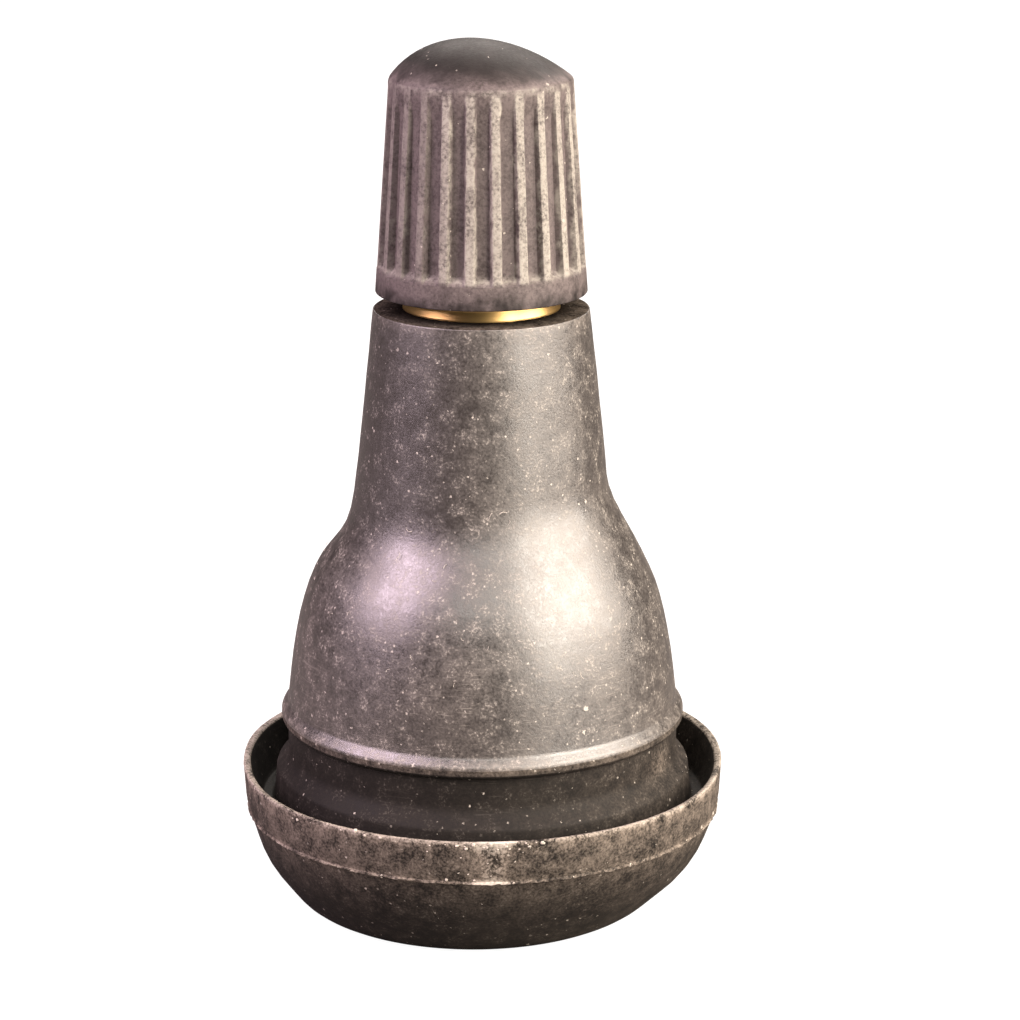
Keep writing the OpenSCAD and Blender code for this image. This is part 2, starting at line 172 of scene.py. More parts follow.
class ValveCapSizes(bpy.types.PropertyGroup):
    """Sizes of the cap."""

    shoulder_r: length("Shoulder", "Radius of the cap at its shoulder", 4.285 * MM)
    dome_h: length("Dome height", "Height of the cap's dome", 1.79 * MM)
    dome_drop: length("Dome drop", "How far the dome's top lies below the plain solid's", 0.06 * MM)
    dome_lean: length("Dome lean", "How far the dome's top sits off the axis", 0.52 * MM)
    hem: length("Hem", "How far the skirt hangs below the plain solid", 0.08 * MM)
    skirt_h: length("Skirt", "Height of the smooth skirt below the grooves", 1.1 * MM)
    band_h: length("Band", "Height of the smooth band above the grooves", 0.1 * MM)
    groove_depth: length("Groove depth", "Depth of a groove at its lower end", 0.4 * MM)
    groove_top_depth: length("Top depth", "Depth of a groove near its upper end", 0.2 * MM)
    shelf_h: length("Shelf", "Height of the sloping shelf at a groove's lower end", 0.4 * MM)
    groove_fade: length("Groove fade", "Length over which a groove fades out at its upper end", 1.6 * MM)
    rib_count: bpy.props.IntProperty(
        name="Ribs", description="Number of ribs round the cap", default=24, min=6
    )
    rib_phase: bpy.props.FloatProperty(
        name="Rib turn", description="Turn of the first groove", default=math.radians(1.1), subtype="ANGLE"
    )


class ValveColours(bpy.types.PropertyGroup):
    """Colours of the valve's materials."""

    rubber: tint("Rubber", "Rubber polished by handling", "#2A2421")
    # Dark rubber of the mould's skin, also used as painted shade on the waist, the underside and the top under
    # the cap
    rubber_skin_and_shade: tint("Rubber skin", "Rubber as it left the mould", "#1C1917")
    rubber_dust: tint("Rubber dust", "Dust rubbed into the rubber", "#8A7E73")
    speck: tint("Specks", "Pale specks and crumbs of dust", "#D8CEC2")
    cap: tint("Cap", "Moulded plastic of the cap", "#1F1B1A")
    cap_groove: tint("Cap grooves", "Dulled plastic in the grooves of the cap", "#6C6261")
    cap_wear: tint("Cap wear", "Scuffed tops of the cap's ribs", "#A6A097")
    brass: tint("Brass", "Turned brass", "#E0BA7A")
    tarnish: tint("Tarnish", "Tarnish on the brass", "#8A6632")
    steel: tint("Steel", "Drawn spring wire", "#B9BABC")
    seal: tint("Seal rubber", "Black seal rubber", "#1B1A1A")
    ptfe: tint("PTFE", "White seal of the core", "#E4E1D8")


def rounded(outline):
    """Rounds the corners of an outline of (radius, height, rounding) points with arcs."""
    path = []
    for i, (r, z, rounding) in enumerate(outline):
        at = Vector((r, z))
        if rounding <= 0:
            path.append(at)
            continue
        before = Vector(outline[i - 1][:2]) - at
        after = Vector(outline[(i + 1) % len(outline)][:2]) - at
        half = before.angle(after) / 2
        reach = min(rounding / math.tan(half), 0.48 * min(before.length, after.length))
        centre = at + (before.normalized() + after.normalized()).normalized() * reach / math.cos(half)
        first = at + before.normalized() * reach - centre
        last = at + after.normalized() * reach - centre
        turn = first.angle_signed(last)
        steps = max(2, math.ceil(abs(turn) / ARC_STEP))
        start = math.atan2(first.y, first.x)
        for k in range(steps + 1):
            angle = start - turn * k / steps
            path.append(centre + first.length * Vector((math.cos(angle), math.sin(angle))))
    return path


def smooth_step(value, low, high):
    """Rises smoothly from 0 to 1 while the value goes from low to high."""
    share = min(1.0, max(0.0, (value - low) / (high - low)))
    return share * share * (3 - 2 * share)


def evenly(path, reach):
    """Divides the long stretches of a path, so that no step is longer than reach."""
    divided = [path[0]]
    for a, b in zip(path, path[1:]):
        steps = max(1, math.ceil((b - a).length / reach))
        divided += [a.lerp(b, k / steps) for k in range(1, steps + 1)]
    return divided


def take(piece):
    """Makes a piece the only selected object and the active one."""
    bpy.ops.object.select_all(action="DESELECT")
    piece.select_set(True)
    bpy.context.view_layer.objects.active = piece


def draw_section(name, path):
    """Starts a piece as one point and extrudes it along its half section. Leaves it in edit mode."""
    bpy.ops.object.select_all(action="DESELECT")
    bpy.ops.mesh.primitive_plane_add(size=MM)
    piece = bpy.context.object
    piece.name = piece.data.name = name
    bpy.ops.object.mode_set(mode="EDIT")
    bpy.ops.mesh.select_mode(type="VERT")
    bpy.ops.mesh.merge(type="CENTER")
    bpy.ops.transform.translate(value=(path[0].x, 0, path[0].y))
    for a, b in zip(path, path[1:]):
        bpy.ops.mesh.extrude_vertices_move(TRANSFORM_OT_translate={"value": (b.x - a.x, 0, b.y - a.y)})
    return piece


def close_up(smooth_angle=35):
    """Merges doubles, turns the faces outwards and ends edit mode with smooth shading up to an angle."""
    bpy.ops.mesh.select_all(action="SELECT")
    bpy.ops.mesh.remove_doubles(threshold=WELD)
    bpy.ops.mesh.normals_make_consistent(inside=False)
    bpy.ops.mesh.select_all(action="DESELECT")
    bpy.ops.object.mode_set(mode="OBJECT")
    bpy.ops.object.shade_smooth_by_angle(angle=math.radians(smooth_angle))


def spin(steps, angle, copies=False):
    """Spins all of the piece in edit mode about the valve's axis, anticlockwise from above."""
    bpy.ops.mesh.select_all(action="SELECT")
    bpy.ops.mesh.spin(steps=steps, angle=-angle, dupli=copies, center=(0, 0, 0), axis=(0, 0, 1))
    bpy.ops.mesh.select_all(action="SELECT")
    bpy.ops.mesh.remove_doubles(threshold=WELD)


def revolve(steps):
    """Turns the half section in edit mode right round: spins one eighth and copies it, which is quicker."""
    spin(steps // 8, math.tau / 8)
    spin(7, math.tau * 7 / 8, copies=True)


def turned(name, outline, steps=96):
    """A piece turned from its half section. An outline that starts off the axis is closed into a ring."""
    path = rounded(outline)
    if path[0].x > WELD:
        path.append(path[0])
    piece = draw_section(name, path)
    revolve(steps)
    close_up()
    return piece


def pick(piece, wanted):
    """Selects the vertices of the piece in edit mode whose place passes a test."""
    bpy.ops.mesh.select_all(action="DESELECT")
    mesh = bmesh.from_edit_mesh(piece.data)
    for vertex in mesh.verts:
        if wanted(vertex.co):
            vertex.select_set(True)
    mesh.select_flush(True)
    bmesh.update_edit_mesh(piece.data)


def apply_modifier(piece, kind, **settings):
    """Adds a modifier with its settings and applies it."""
    take(piece)
    modifier = piece.modifiers.new(kind.title(), kind)
    for key, value in settings.items():
        setattr(modifier, key, value)
    bpy.ops.object.modifier_apply(modifier=modifier.name)


def joined(piece, *others):
    """Joins other pieces into one."""
    take(piece)
    for other in others:
        other.select_set(True)
    bpy.ops.object.join()
    return piece


def thread_tube(name, root_r, crest_r, pitch, low, high, phase=0.0, steps=96):
    """An open tube with a right-hand thread of 60 degree form, cut off level at both ends."""
    flank = abs(crest_r - root_r) * math.tan(math.radians(30))
    crest_w = (pitch - 2 * flank) * 0.4
    root_w = pitch - 2 * flank - crest_w
    foot = low - 1.5 * pitch + phase * pitch
    heights = (0, root_w / 2, root_w / 2 + flank, root_w / 2 + flank + crest_w, pitch - root_w / 2, pitch)
    radii = (root_r, root_r, crest_r, crest_r, root_r, root_r)
    path = [Vector((r, foot + h)) for r, h in zip(radii, heights)]
    tube = draw_section(name, path)
    bpy.ops.object.mode_set(mode="OBJECT")
    turns = math.ceil((high - low) / pitch) + 3
    apply_modifier(tube, "SCREW", axis="Z", angle=math.tau, screw_offset=pitch, iterations=turns, steps=steps,
                   render_steps=steps)
    bpy.ops.object.mode_set(mode="EDIT")
    bpy.ops.mesh.select_all(action="SELECT")
    bpy.ops.mesh.remove_doubles(threshold=WELD)
    for level, side in ((low, "clear_inner"), (high, "clear_outer")):
        bpy.ops.mesh.select_all(action="SELECT")
        bpy.ops.mesh.bisect(plane_co=(0, 0, level), plane_no=(0, 0, 1), threshold=WELD, **{side: True})
    bpy.ops.object.mode_set(mode="OBJECT")
    return tube


def wire_end(sides, wire_r, coil_r, level=0.0):
    """Starts a wire as its round end, upright on the right of the axis. Leaves it in edit mode."""
    bpy.ops.object.select_all(action="DESELECT")
    bpy.ops.mesh.primitive_circle_add(
        vertices=sides, radius=wire_r, fill_type="NGON", location=(coil_r, 0, level),
        rotation=(math.pi / 2, 0, 0),
    )
    bpy.ops.object.transform_apply()
    bpy.ops.object.mode_set(mode="EDIT")
    return bpy.context.object


def scatter(first, count, put):
    """Copies a bit, has each copy put in its place, and gives the copies as one piece without the first."""
    copies = []
    for _ in range(count):
        take(first)
        bpy.ops.object.duplicate()
        put()
        copies.append(bpy.context.object)
    bpy.data.objects.remove(first)
    bits = joined(*copies)
    bpy.ops.object.transform_apply()
    return bits


def bridge_rims(piece, *pairs):
    """Bridges pairs of open rims of the piece in edit mode, each rim given by its level."""
    for levels in pairs:
        bpy.ops.mesh.select_all(action="DESELECT")
        mesh = bmesh.from_edit_mesh(piece.data)
        for edge in mesh.edges:
            ends = [v.co for v in edge.verts]
            if edge.is_boundary and any(all(abs(co.z - z) < 0.002 * MM for co in ends) for z in levels):
                edge.select_set(True)
        bmesh.update_edit_mesh(piece.data)
        bpy.ops.mesh.bridge_edge_loops()


def threaded(name, outline, root_r, crest_r, pitch, low, high):
    """A piece turned from an open half section, with a thread between the section's two ends."""
    below, above = sorted((outline[0][1], outline[-1][1]))
    piece = draw_section(name, rounded(outline))
    revolve(96)
    bpy.ops.object.mode_set(mode="OBJECT")
    joined(piece, thread_tube(name + "_thread", root_r, crest_r, pitch, low, high))
    bpy.ops.object.mode_set(mode="EDIT")
    bridge_rims(piece, (below, low), (high, above))
    close_up(30)
    return piece


def hand_over(piece, node, body, material):
    """Gives a piece its material and puts it in the place of its CAD node, on that node's body."""
    piece.data.materials.clear()
    piece.data.materials.append(material)
    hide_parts(node)
    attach(piece, body)


def add(tree, kind, inputs=None, out=None, **settings):
    """Adds a shader node with its settings, sets or links its inputs, and gives the node or the named output.

    A mix node's sockets go by place: the factor is 0, numbers are 2 and 3 and come out of 0, and colours are
    6 and 7 and come out of 2.
    """
    made = tree.nodes.new("ShaderNode" + kind)
    for key, value in settings.items():
        setattr(made, key, value)
    for socket, value in (inputs or {}).items():
        if isinstance(value, bpy.types.NodeSocket):
            tree.links.new(value, made.inputs[socket])
        else:
            made.inputs[socket].default_value = value
    return made if out is None else made.outputs[out]


def new_material(name):
    """An empty node material with its output, and the shader that the output shows."""
    material = bpy.data.materials.new(name)
    material.use_nodes = True
    tree = material.node_tree
    tree.nodes.clear()
    shader = add(tree, "BsdfPrincipled")
    add(tree, "OutputMaterial", {"Surface": shader.outputs["BSDF"]})
    return material, tree, shader


def dress(tree, shader, level=0.5, metallic=0.0, **linked):
    """Links the patterns of a material to its shader and sets the values that are the same all over."""
    for name, socket in linked.items():
        tree.links.new(socket, shader.inputs[name.replace("_", " ").title()])
    shader.inputs["Specular IOR Level"].default_value = level
    shader.inputs["Metallic"].default_value = metallic


def specks(tree, place, cell, size, share):
    """Ragged specks up to a size, in a share of the cells, each with its own size and strength."""
    shift = add(tree, "TexNoise", {"Vector": place, "Scale": 1 / (0.4 * size), "Detail": 2.0}, "Color")
    ragged = add(tree, "VectorMath", {0: shift, 1: (size,) * 3, 2: place}, "Vector", operation="MULTIPLY_ADD")
    dots = add(tree, "TexVoronoi", {"Vector": ragged, "Scale": 1 / cell})
    chance = add(tree, "SeparateColor", {"Color": dots.outputs["Color"]})
    sized = {0: chance.outputs["Green"], 1: 0.5 * size / cell}
    reach = add(tree, "Math", sized, "Value", operation="MULTIPLY")
    depth = add(tree, "Math", {0: reach, 1: dots.outputs["Distance"]}, "Value", operation="SUBTRACT")
    chosen = add(tree, "Math", {0: chance.outputs["Red"], 1: share}, "Value", operation="LESS_THAN")
    faint = {"Value": chance.outputs["Blue"], "To Min": 0.05, "To Max": 0.7}
    strength = add(tree, "MapRange", faint, "Result")
    shown = {"Value": depth, "From Max": 0.12 * size / cell, "To Max": strength}
    visible = add(tree, "MapRange", shown, "Result", interpolation_type="SMOOTHSTEP")
    return add(tree, "Math", {0: visible, 1: chosen}, "Value", operation="MULTIPLY", use_clamp=True)


def round_place(tree, place, line, run):
    """A place for marks that run round the valve, a line apart upwards and a run long at a radius of 10 mm."""
    xyz = add(tree, "SeparateXYZ", {"Vector": place})
    flat = add(tree, "CombineXYZ", {"X": xyz.outputs["X"], "Y": xyz.outputs["Y"]}, "Vector")
    radius = add(tree, "VectorMath", {0: flat}, "Value", operation="LENGTH")
    around = add(tree, "VectorMath", {0: flat}, "Vector", operation="NORMALIZE")
    across = add(tree, "Math", {0: xyz.outputs["Z"], 1: radius}, "Value", operation="ADD")
    level = add(tree, "Math", {0: across, 1: 1 / line}, "Value", operation="MULTIPLY")
    lines = add(tree, "CombineXYZ", {"Z": level}, "Vector")
    turns = 10 * MM / run
    drawn_out = {0: around, 1: (turns, turns, 0.0), 2: lines}
    return add(tree, "VectorMath", drawn_out, "Vector", operation="MULTIPLY_ADD")


def moulded_rubber(colours, finish, bare, shine, smooth, dull, scored, flecks):
    """Vulcanised rubber, moulded: dark with a soft sheen, a film of dust, fine scratches and pale specks."""
    material, tree, shader = new_material("moulded_rubber_" + finish)
    place = add(tree, "TexCoord", out="Object")
    # The stored dust amount also carries painted light and shade on the rubber body: paler on the right,
    # darker on the neck's left
    zone = add(tree, "Attribute", out="Fac", attribute_name="dust")
    # The dust lies in patches, clots and grains, which are drawn coarser than the real ones so that they show
    layers = [
        add(tree, "TexNoise", {"Vector": place, "Scale": 1 / size, "Detail": 4.0, "Roughness": 0.65}, "Fac")
        for size in (3.0 * MM, 0.7 * MM, 0.12 * MM)
    ]
    patches, clots, grain = layers
    stack = add(tree, "CombineXYZ", dict(zip("XYZ", layers)), "Vector")
    film = add(tree, "VectorMath", {0: stack, 1: (0.22, 0.36, 0.42)}, "Value", operation="DOT_PRODUCT")
    heavy = {"Value": film, "From Min": 0.38, "From Max": 0.63, "To Max": zone}
    dust = add(tree, "MapRange", heavy, "Result", interpolation_type="SMOOTHSTEP")
    # Fine scratches run round the bell, in some places only
    around = round_place(tree, place, 0.05 * MM, 1.4 * MM)
    lines = add(tree, "TexNoise", {"Vector": around, "Scale": 1.0, "Detail": 1.0}, "Fac")
    low = add(tree, "Attribute", out="Fac", attribute_name="score")
    most = add(tree, "Math", {0: low, 1: scored}, "Value", operation="MULTIPLY")
    some = {"Value": patches, "From Min": 0.45, "From Max": 0.6, "To Max": most}
    where = add(tree, "MapRange", some, "Result")
    fine = {"Value": lines, "From Min": 0.62, "From Max": 0.72, "To Max": where}
    marks = add(tree, "MapRange", fine, "Result")
    # Fine hairs are short pieces of the contour lines of a noise, broken by another
    bends = add(tree, "TexNoise", {"Vector": place, "Scale": 1 / (1.2 * MM), "Detail": 0.0}, "Fac")
    off_line = add(tree, "Math", {0: bends, 1: 0.5}, "Value", operation="SUBTRACT")
    aside = add(tree, "Math", {0: off_line}, "Value", operation="ABSOLUTE")
    broken = {"Value": clots, "From Min": 0.58, "From Max": 0.66, "To Max": 0.5 * flecks ** 2}
    pieces = add(tree, "MapRange", broken, "Result")
    thin = {"Value": aside, "From Max": 0.008, "To Min": pieces, "To Max": 0.0}
    hairs = add(tree, "MapRange", thin, "Result")
    # Where the clots and the grain are both high, the dust has gathered to pale clumps
    gathered = {"Value": clots, "From Min": 0.5, "From Max": 0.62, "To Max": 0.5 * flecks ** 2}
    heaps = add(tree, "MapRange", gathered, "Result")
    coarse = {"Value": grain, "From Min": 0.53, "From Max": 0.66, "To Max": heaps}
    clumps = add(tree, "MapRange", coarse, "Result")
    # The thickest dust, along the lip and the mould seam, is nearly white
    thick = add(tree, "Math", {0: film, 1: zone}, "Value", operation="MULTIPLY")
    crust = add(tree, "MapRange", {"Value": thick, "From Min": 0.6, "From Max": 1.0, "To Max": 0.8}, "Result")
    flakes = specks(tree, place, 1.1 * MM, 0.26 * MM, flecks)
    grit = specks(tree, place, 0.3 * MM, 0.14 * MM, flecks)
    pale = marks
    for other in (crust, hairs, clumps, flakes, grit):
        pale = add(tree, "Math", {0: pale, 1: other}, "Value", operation="MAXIMUM", use_clamp=True)
    dusty = add(tree, "Mix", {0: dust, 6: bare[:], 7: colours.rubber_dust[:]}, 2, data_type="RGBA")
    colour = add(tree, "Mix", {0: pale, 6: dusty, 7: colours.speck[:]}, 2, data_type="RGBA")
    sheen = {"Value": film, "From Min": 0.4, "From Max": 0.6, "To Min": smooth, "To Max": dull}
    skin = add(tree, "MapRange", sheen, "Result")
    worn = add(tree, "Math", {0: dust, 1: pale}, "Value", operation="MAXIMUM", use_clamp=True)
    rough = add(tree, "Mix", {0: worn, 2: skin, 3: 0.7}, 0)
    bump = add(tree, "Bump", {"Height": grain, "Strength": 0.4, "Distance": 0.03 * MM}, "Normal")
    dress(tree, shader, level=shine, base_color=colour, roughness=rough, normal=bump)
    shader.inputs["IOR"].default_value = 1.4 + 0.4 * shine
    return material


def cap_plastic(colours):
    """Polypropylene, moulded and ribbed: dark on the dome, dull in grooves and scuffed pale on the ribs."""
    material, tree, shader = new_material("moulded_polypropylene_scuffed")
    place = add(tree, "TexCoord", out="Object")
    # The stored wear also carries painted shade on the left ribs and a painted highlight on the grooves'
    # shelves
    zone = add(tree, "Attribute", out="Fac", attribute_name="wear")
    patches, grain = (
        add(tree, "TexNoise", {"Vector": place, "Scale": 1 / size, "Detail": 3.0, "Roughness": 0.65}, "Fac")
        for size in (1.2 * MM, 0.16 * MM)
    )
    uneven = add(tree, "Mix", {0: 0.6, 2: patches, 3: grain}, 0)
    blotches = {"Value": uneven, "From Min": 0.35, "From Max": 0.6, "To Min": 0.4, "To Max": 1.1}
    mottle = add(tree, "MapRange", blotches, "Result")
    dulled = {"Value": zone, "From Max": 0.35, "To Max": mottle}
    dull = add(tree, "MapRange", dulled, "Result", interpolation_type="SMOOTHSTEP")
    handled = {"Value": zone, "From Min": 0.35}
    rubbed = add(tree, "MapRange", handled, "Result", interpolation_type="SMOOTHSTEP")
    scuff = {"Value": uneven, "From Min": 0.28, "From Max": 0.62, "To Max": rubbed}
    worn = add(tree, "MapRange", scuff, "Result", interpolation_type="SMOOTHSTEP")
    dots = [specks(tree, place, 0.9 * MM, 0.22 * MM, 0.5), specks(tree, place, 0.35 * MM, 0.12 * MM, 0.5)]
    pale = add(tree, "Math", dict(enumerate(dots)), "Value", operation="MAXIMUM", use_clamp=True)
    plain = add(tree, "Mix", {0: dull, 6: colours.cap[:], 7: colours.cap_groove[:]}, 2, data_type="RGBA")
    scuffed = add(tree, "Mix", {0: worn, 6: plain, 7: colours.cap_wear[:]}, 2, data_type="RGBA")
    colour = add(tree, "Mix", {0: pale, 6: scuffed, 7: colours.speck[:]}, 2, data_type="RGBA")
    matt = {"Value": uneven, "From Min": 0.3, "From Max": 0.7, "To Min": 0.46, "To Max": 0.66}
    rough = add(tree, "MapRange", matt, "Result")
    bump = add(tree, "Bump", {"Height": uneven, "Strength": 0.6, "Distance": 0.03 * MM}, "Normal")
    dress(tree, shader, level=0.2, base_color=colour, roughness=rough, normal=bump)
    return material


def turned_brass(colours):
    """Free-cutting brass, turned: bright gold with fine rings from the tool and a little brown tarnish."""
    material, tree, shader = new_material("turned_brass")
    place = add(tree, "TexCoord", out="Object")
    xyz = add(tree, "SeparateXYZ", {"Vector": place})
    # Tool rings 0.09 mm apart, drawn a little coarser than the real feed so that they show
    level = add(tree, "Math", {0: xyz.outputs["Z"], 1: 1 / (0.09 * MM)}, "Value", operation="MULTIPLY")
    rings = add(tree, "CombineXYZ", {"Z": level}, "Vector")
    feed = add(tree, "TexNoise", {"Vector": rings, "Scale": 1.0, "Detail": 2.0}, "Fac")
    cloudy = {"Vector": place, "Scale": 1 / (0.9 * MM), "Detail": 5.0, "Roughness": 0.65}
    stain = add(tree, "TexNoise", cloudy, "Fac")
    spread = {"Value": stain, "From Min": 0.55, "From Max": 0.8, "To Max": 0.5}
    tarnish = add(tree, "MapRange", spread, "Result", interpolation_type="SMOOTHSTEP")
    colour = add(tree, "Mix", {0: tarnish, 6: colours.brass[:], 7: colours.tarnish[:]}, 2, data_type="RGBA")
    rough = add(tree, "MapRange", {"Value": tarnish, "To Min": 0.38, "To Max": 0.55}, "Result")
    bump = add(tree, "Bump", {"Height": feed, "Strength": 0.3, "Distance": 0.01 * MM}, "Normal")
    dress(tree, shader, metallic=1.0, base_color=colour, roughness=rough, normal=bump)
    return material


def spring_steel(colours):
    """Stainless spring wire, drawn: grey metal with a fine grain and a slightly uneven shine."""
    material, tree, shader = new_material("drawn_spring_steel")
    place = add(tree, "TexCoord", out="Object")
    lines = add(tree, "TexNoise", {"Vector": place, "Scale": 1 / (0.06 * MM), "Detail": 3.0}, "Fac")
    shade = add(tree, "MapRange", {"Value": lines, "To Min": 0.75}, "Result")
    colour = add(tree, "VectorMath", {0: colours.steel[:3], 1: shade}, "Vector", operation="MULTIPLY")
    rough = add(tree, "MapRange", {"Value": lines, "To Min": 0.25, "To Max": 0.4}, "Result")
    dress(tree, shader, metallic=1.0, base_color=colour, roughness=rough)
    return material


def plain_seal(name, colour, grit, roughness):
    """A seal, cut or moulded: smooth and matt, with a grain of the given size."""
    material, tree, shader = new_material(name)
    place = add(tree, "TexCoord", out="Object")
    grain = add(tree, "TexNoise", {"Vector": place, "Scale": 1 / grit, "Detail": 4.0}, "Fac")
    shade = add(tree, "MapRange", {"Value": grain, "To Min": 0.8, "To Max": 1.1}, "Result")
    tinted = add(tree, "VectorMath", {0: colour[:3], 1: shade}, "Vector", operation="MULTIPLY")
    matt = {"Value": grain, "To Min": roughness - 0.08, "To Max": roughness + 0.08}
    rough = add(tree, "MapRange", matt, "Result")
    bump = add(tree, "Bump", {"Height": grain, "Strength": 0.3, "Distance": 0.01 * MM}, "Normal")
    dress(tree, shader, base_color=tinted, roughness=rough, normal=bump)
    return material


def paint(piece, name, amount):
    """Stores an amount for each vertex of a piece, by its place, for its material to read."""
    values = piece.data.attributes.new(name, "FLOAT", "POINT")
    for vertex, stored in zip(piece.data.vertices, values.data):
        stored.value = amount(vertex.co)


class MESH_OT_valve_rubber_body(bpy.types.Operator):
    """Turn the rubber body, with its ragged mould seam, crumbs of dust and lint"""

    bl_idname = "mesh.valve_rubber_body"
    bl_label = "Rubber Body"

    def execute(self, context):
        sizes = context.scene.valve_rubber
        stem = context.scene.valve_stem
        foot_z, top_z, _ = span("rubber_body")
        stem_foot_z, _, stem_foot_r = span("stem")
        bead_top = sizes.crease_h + sizes.bead_t
        flash_r = sizes.seam_r + sizes.flash
        outline = [
            (sizes.inlet_r, stem_foot_z, 0),
            (sizes.inlet_r, foot_z + 0.5 * MM, 0.3 * MM),
            (sizes.inlet_r + 0.5 * MM, foot_z, 0.3 * MM),
            (sizes.foot_r, foot_z, 1.9 * MM),
            (sizes.bowl_r, sizes.bowl_h, 5.5 * MM),
            (sizes.seam_r - 0.02 * MM, sizes.seam_h - 0.1 * MM, 0.03 * MM),
            (flash_r, sizes.seam_h - 0.04 * MM, 0),
            (flash_r, sizes.seam_h + 0.03 * MM, 0),
            (sizes.seam_r, sizes.seam_h + 0.08 * MM, 0.03 * MM),
            (sizes.seam_r + 0.12 * MM, sizes.seam_h + 0.6 * MM, 1 * MM),
            (sizes.lip_r, sizes.lip_h, 0.08 * MM),
            (sizes.lip_r - sizes.lip_t, sizes.lip_h - 0.1 * MM, 0.25 * MM),
            (sizes.trough_r, sizes.trough_h, 0.2 * MM),
            (sizes.trough_r - sizes.trough_w, sizes.trough_h, 0.2 * MM),
            (sizes.shoulder_r, sizes.shoulder_h, 0.35 * MM),
            (sizes.waist_r, sizes.waist_h, 0.9 * MM),
            (sizes.waist_r, sizes.crease_h, 0.08 * MM),
            (sizes.bead_r, sizes.crease_h + 0.1 * MM, 0.3 * MM),
            (sizes.bead_r, bead_top - 0.2 * MM, 0.35 * MM),
            (sizes.bell_r - 0.08 * MM, bead_top + 0.18 * MM, 0.35 * MM),
            *self.bell_curve(sizes, bead_top + 0.75 * MM),
            (sizes.neck_base_r, sizes.neck_base_h, 5 * MM),
            (sizes.neck_top_r, top_z - 0.05 * MM, 0.06 * MM),
            (stem.neck_r, top_z, 0),
            (stem.neck_r, top_z - stem.neck_depth, 0),
            (stem.shank_r, top_z - stem.neck_depth - stem.step_h, 0),
            (stem.shank_r, stem_foot_z + stem.foot_h + stem_foot_r - stem.shank_r, 0),
            (stem_foot_r, stem_foot_z + stem.foot_h, 0),
            (stem_foot_r, stem_foot_z, 0),
            (sizes.inlet_r, stem_foot_z, 0),
        ]
        path = rounded(outline)
        hollow = next(i for i, point in enumerate(path) if point.x == stem.neck_r)
        row, columns = 0.4 * MM, 400
        body = draw_section("rubber_body_moulded", evenly(path[:hollow], row) + path[hollow:])
        revolve(columns)
        # The flash tears off unevenly along the mould's parting line, and the lip's edge is a little rough
        pick(body, lambda co: co.xy.length > flash_r - 0.001 * MM and abs(co.z - sizes.seam_h) < 0.06 * MM)
        bpy.ops.transform.vertex_random(offset=0.055 * MM, uniform=0, normal=0, seed=4)
        pick(body, lambda co: co.xy.length > sizes.lip_r - sizes.lip_t and co.z > sizes.lip_h - 0.12 * MM)
        bpy.ops.transform.vertex_random(offset=0.012 * MM, uniform=0, normal=0, seed=9)
        close_up()
        paint(body, "dust", lambda co: self.dust_and_light_at(sizes, top_z, co))
        paint(body, "score", lambda co: 1 - 0.8 * smooth_step(co.z, 12 * MM, 16 * MM))
        self.settle(body, sizes)
        walls = body.vertex_groups.new(name="walls")
        outside = [v.index for v in body.data.vertices if v.co.z > 2 * MM and v.co.xy.length > stem_foot_r]
        walls.add(outside, 1, "REPLACE")
        waves = bpy.data.textures.new("moulding_waves", "CLOUDS")
        waves.noise_scale = 2.5 * MM
        waves.noise_depth = 1
        apply_modifier(
            body, "DISPLACE", texture=waves, texture_coords="LOCAL", strength=0.04 * MM, mid_level=0.62,
            vertex_group=walls.name,
        )
        bell = [point for point in path[:hollow] if bead_top + 0.5 * MM < point.y < top_z - 0.3 * MM]
        for bits, dusty in ((self.crumbs(sizes), 4.0), (self.lint(evenly(bell, row)), 2.2)):
            paint(bits, "dust", lambda co: dusty)
            joined(body, bits)
        # Handling has polished bell and neck. The flange, the waist and the underside get a darker rubber with
        # less sheen: the mould's matt skin, and on the waist and the underside also painted shade. The top
        # under the cap gets that dark rubber with no sheen at all: painted shade under the cap.
        colours = context.scene.valve_colours
        skin = colours.rubber_skin_and_shade
        handled = moulded_rubber(
            colours, "handled", colours.rubber, shine=0.9, smooth=0.3, dull=0.5, scored=0.2, flecks=0.9
        )
        mould_skin_and_shade = moulded_rubber(
            colours, "mould_skin_and_shade", skin, shine=0.2, smooth=0.6, dull=0.75, scored=0.03, flecks=0.4
        )
        under_cap_shade = moulded_rubber(
            colours, "under_cap_shade", skin, shine=0.0, smooth=0.9, dull=0.95, scored=0.0, flecks=0.2
        )
        hand_over(body, "rubber_body", "valve", handled)
        body.data.materials.append(mould_skin_and_shade)
        body.data.materials.append(under_cap_shade)
        for face in body.data.polygons:
            below = face.center.z < sizes.crease_h + 0.4 * MM
            inside = face.center.xy.length < sizes.neck_top_r - 0.1 * MM
            face.material_index = 1 if below else 2 if inside else 0
        return {"FINISHED"}

    @staticmethod
    def bell_curve(sizes, low):
        """Corners of the bell from bead to neck, each given as shares of the way up and of the way in."""
        for up, inward in ((0.206, 0.085), (0.409, 0.189), (0.578, 0.318), (0.724, 0.506)):
            radius = sizes.bell_r + (sizes.neck_base_r - sizes.bell_r) * inward - 0.08 * MM * (1 - inward)
            yield radius, low + (sizes.neck_base_h - low) * up, 40 * MM

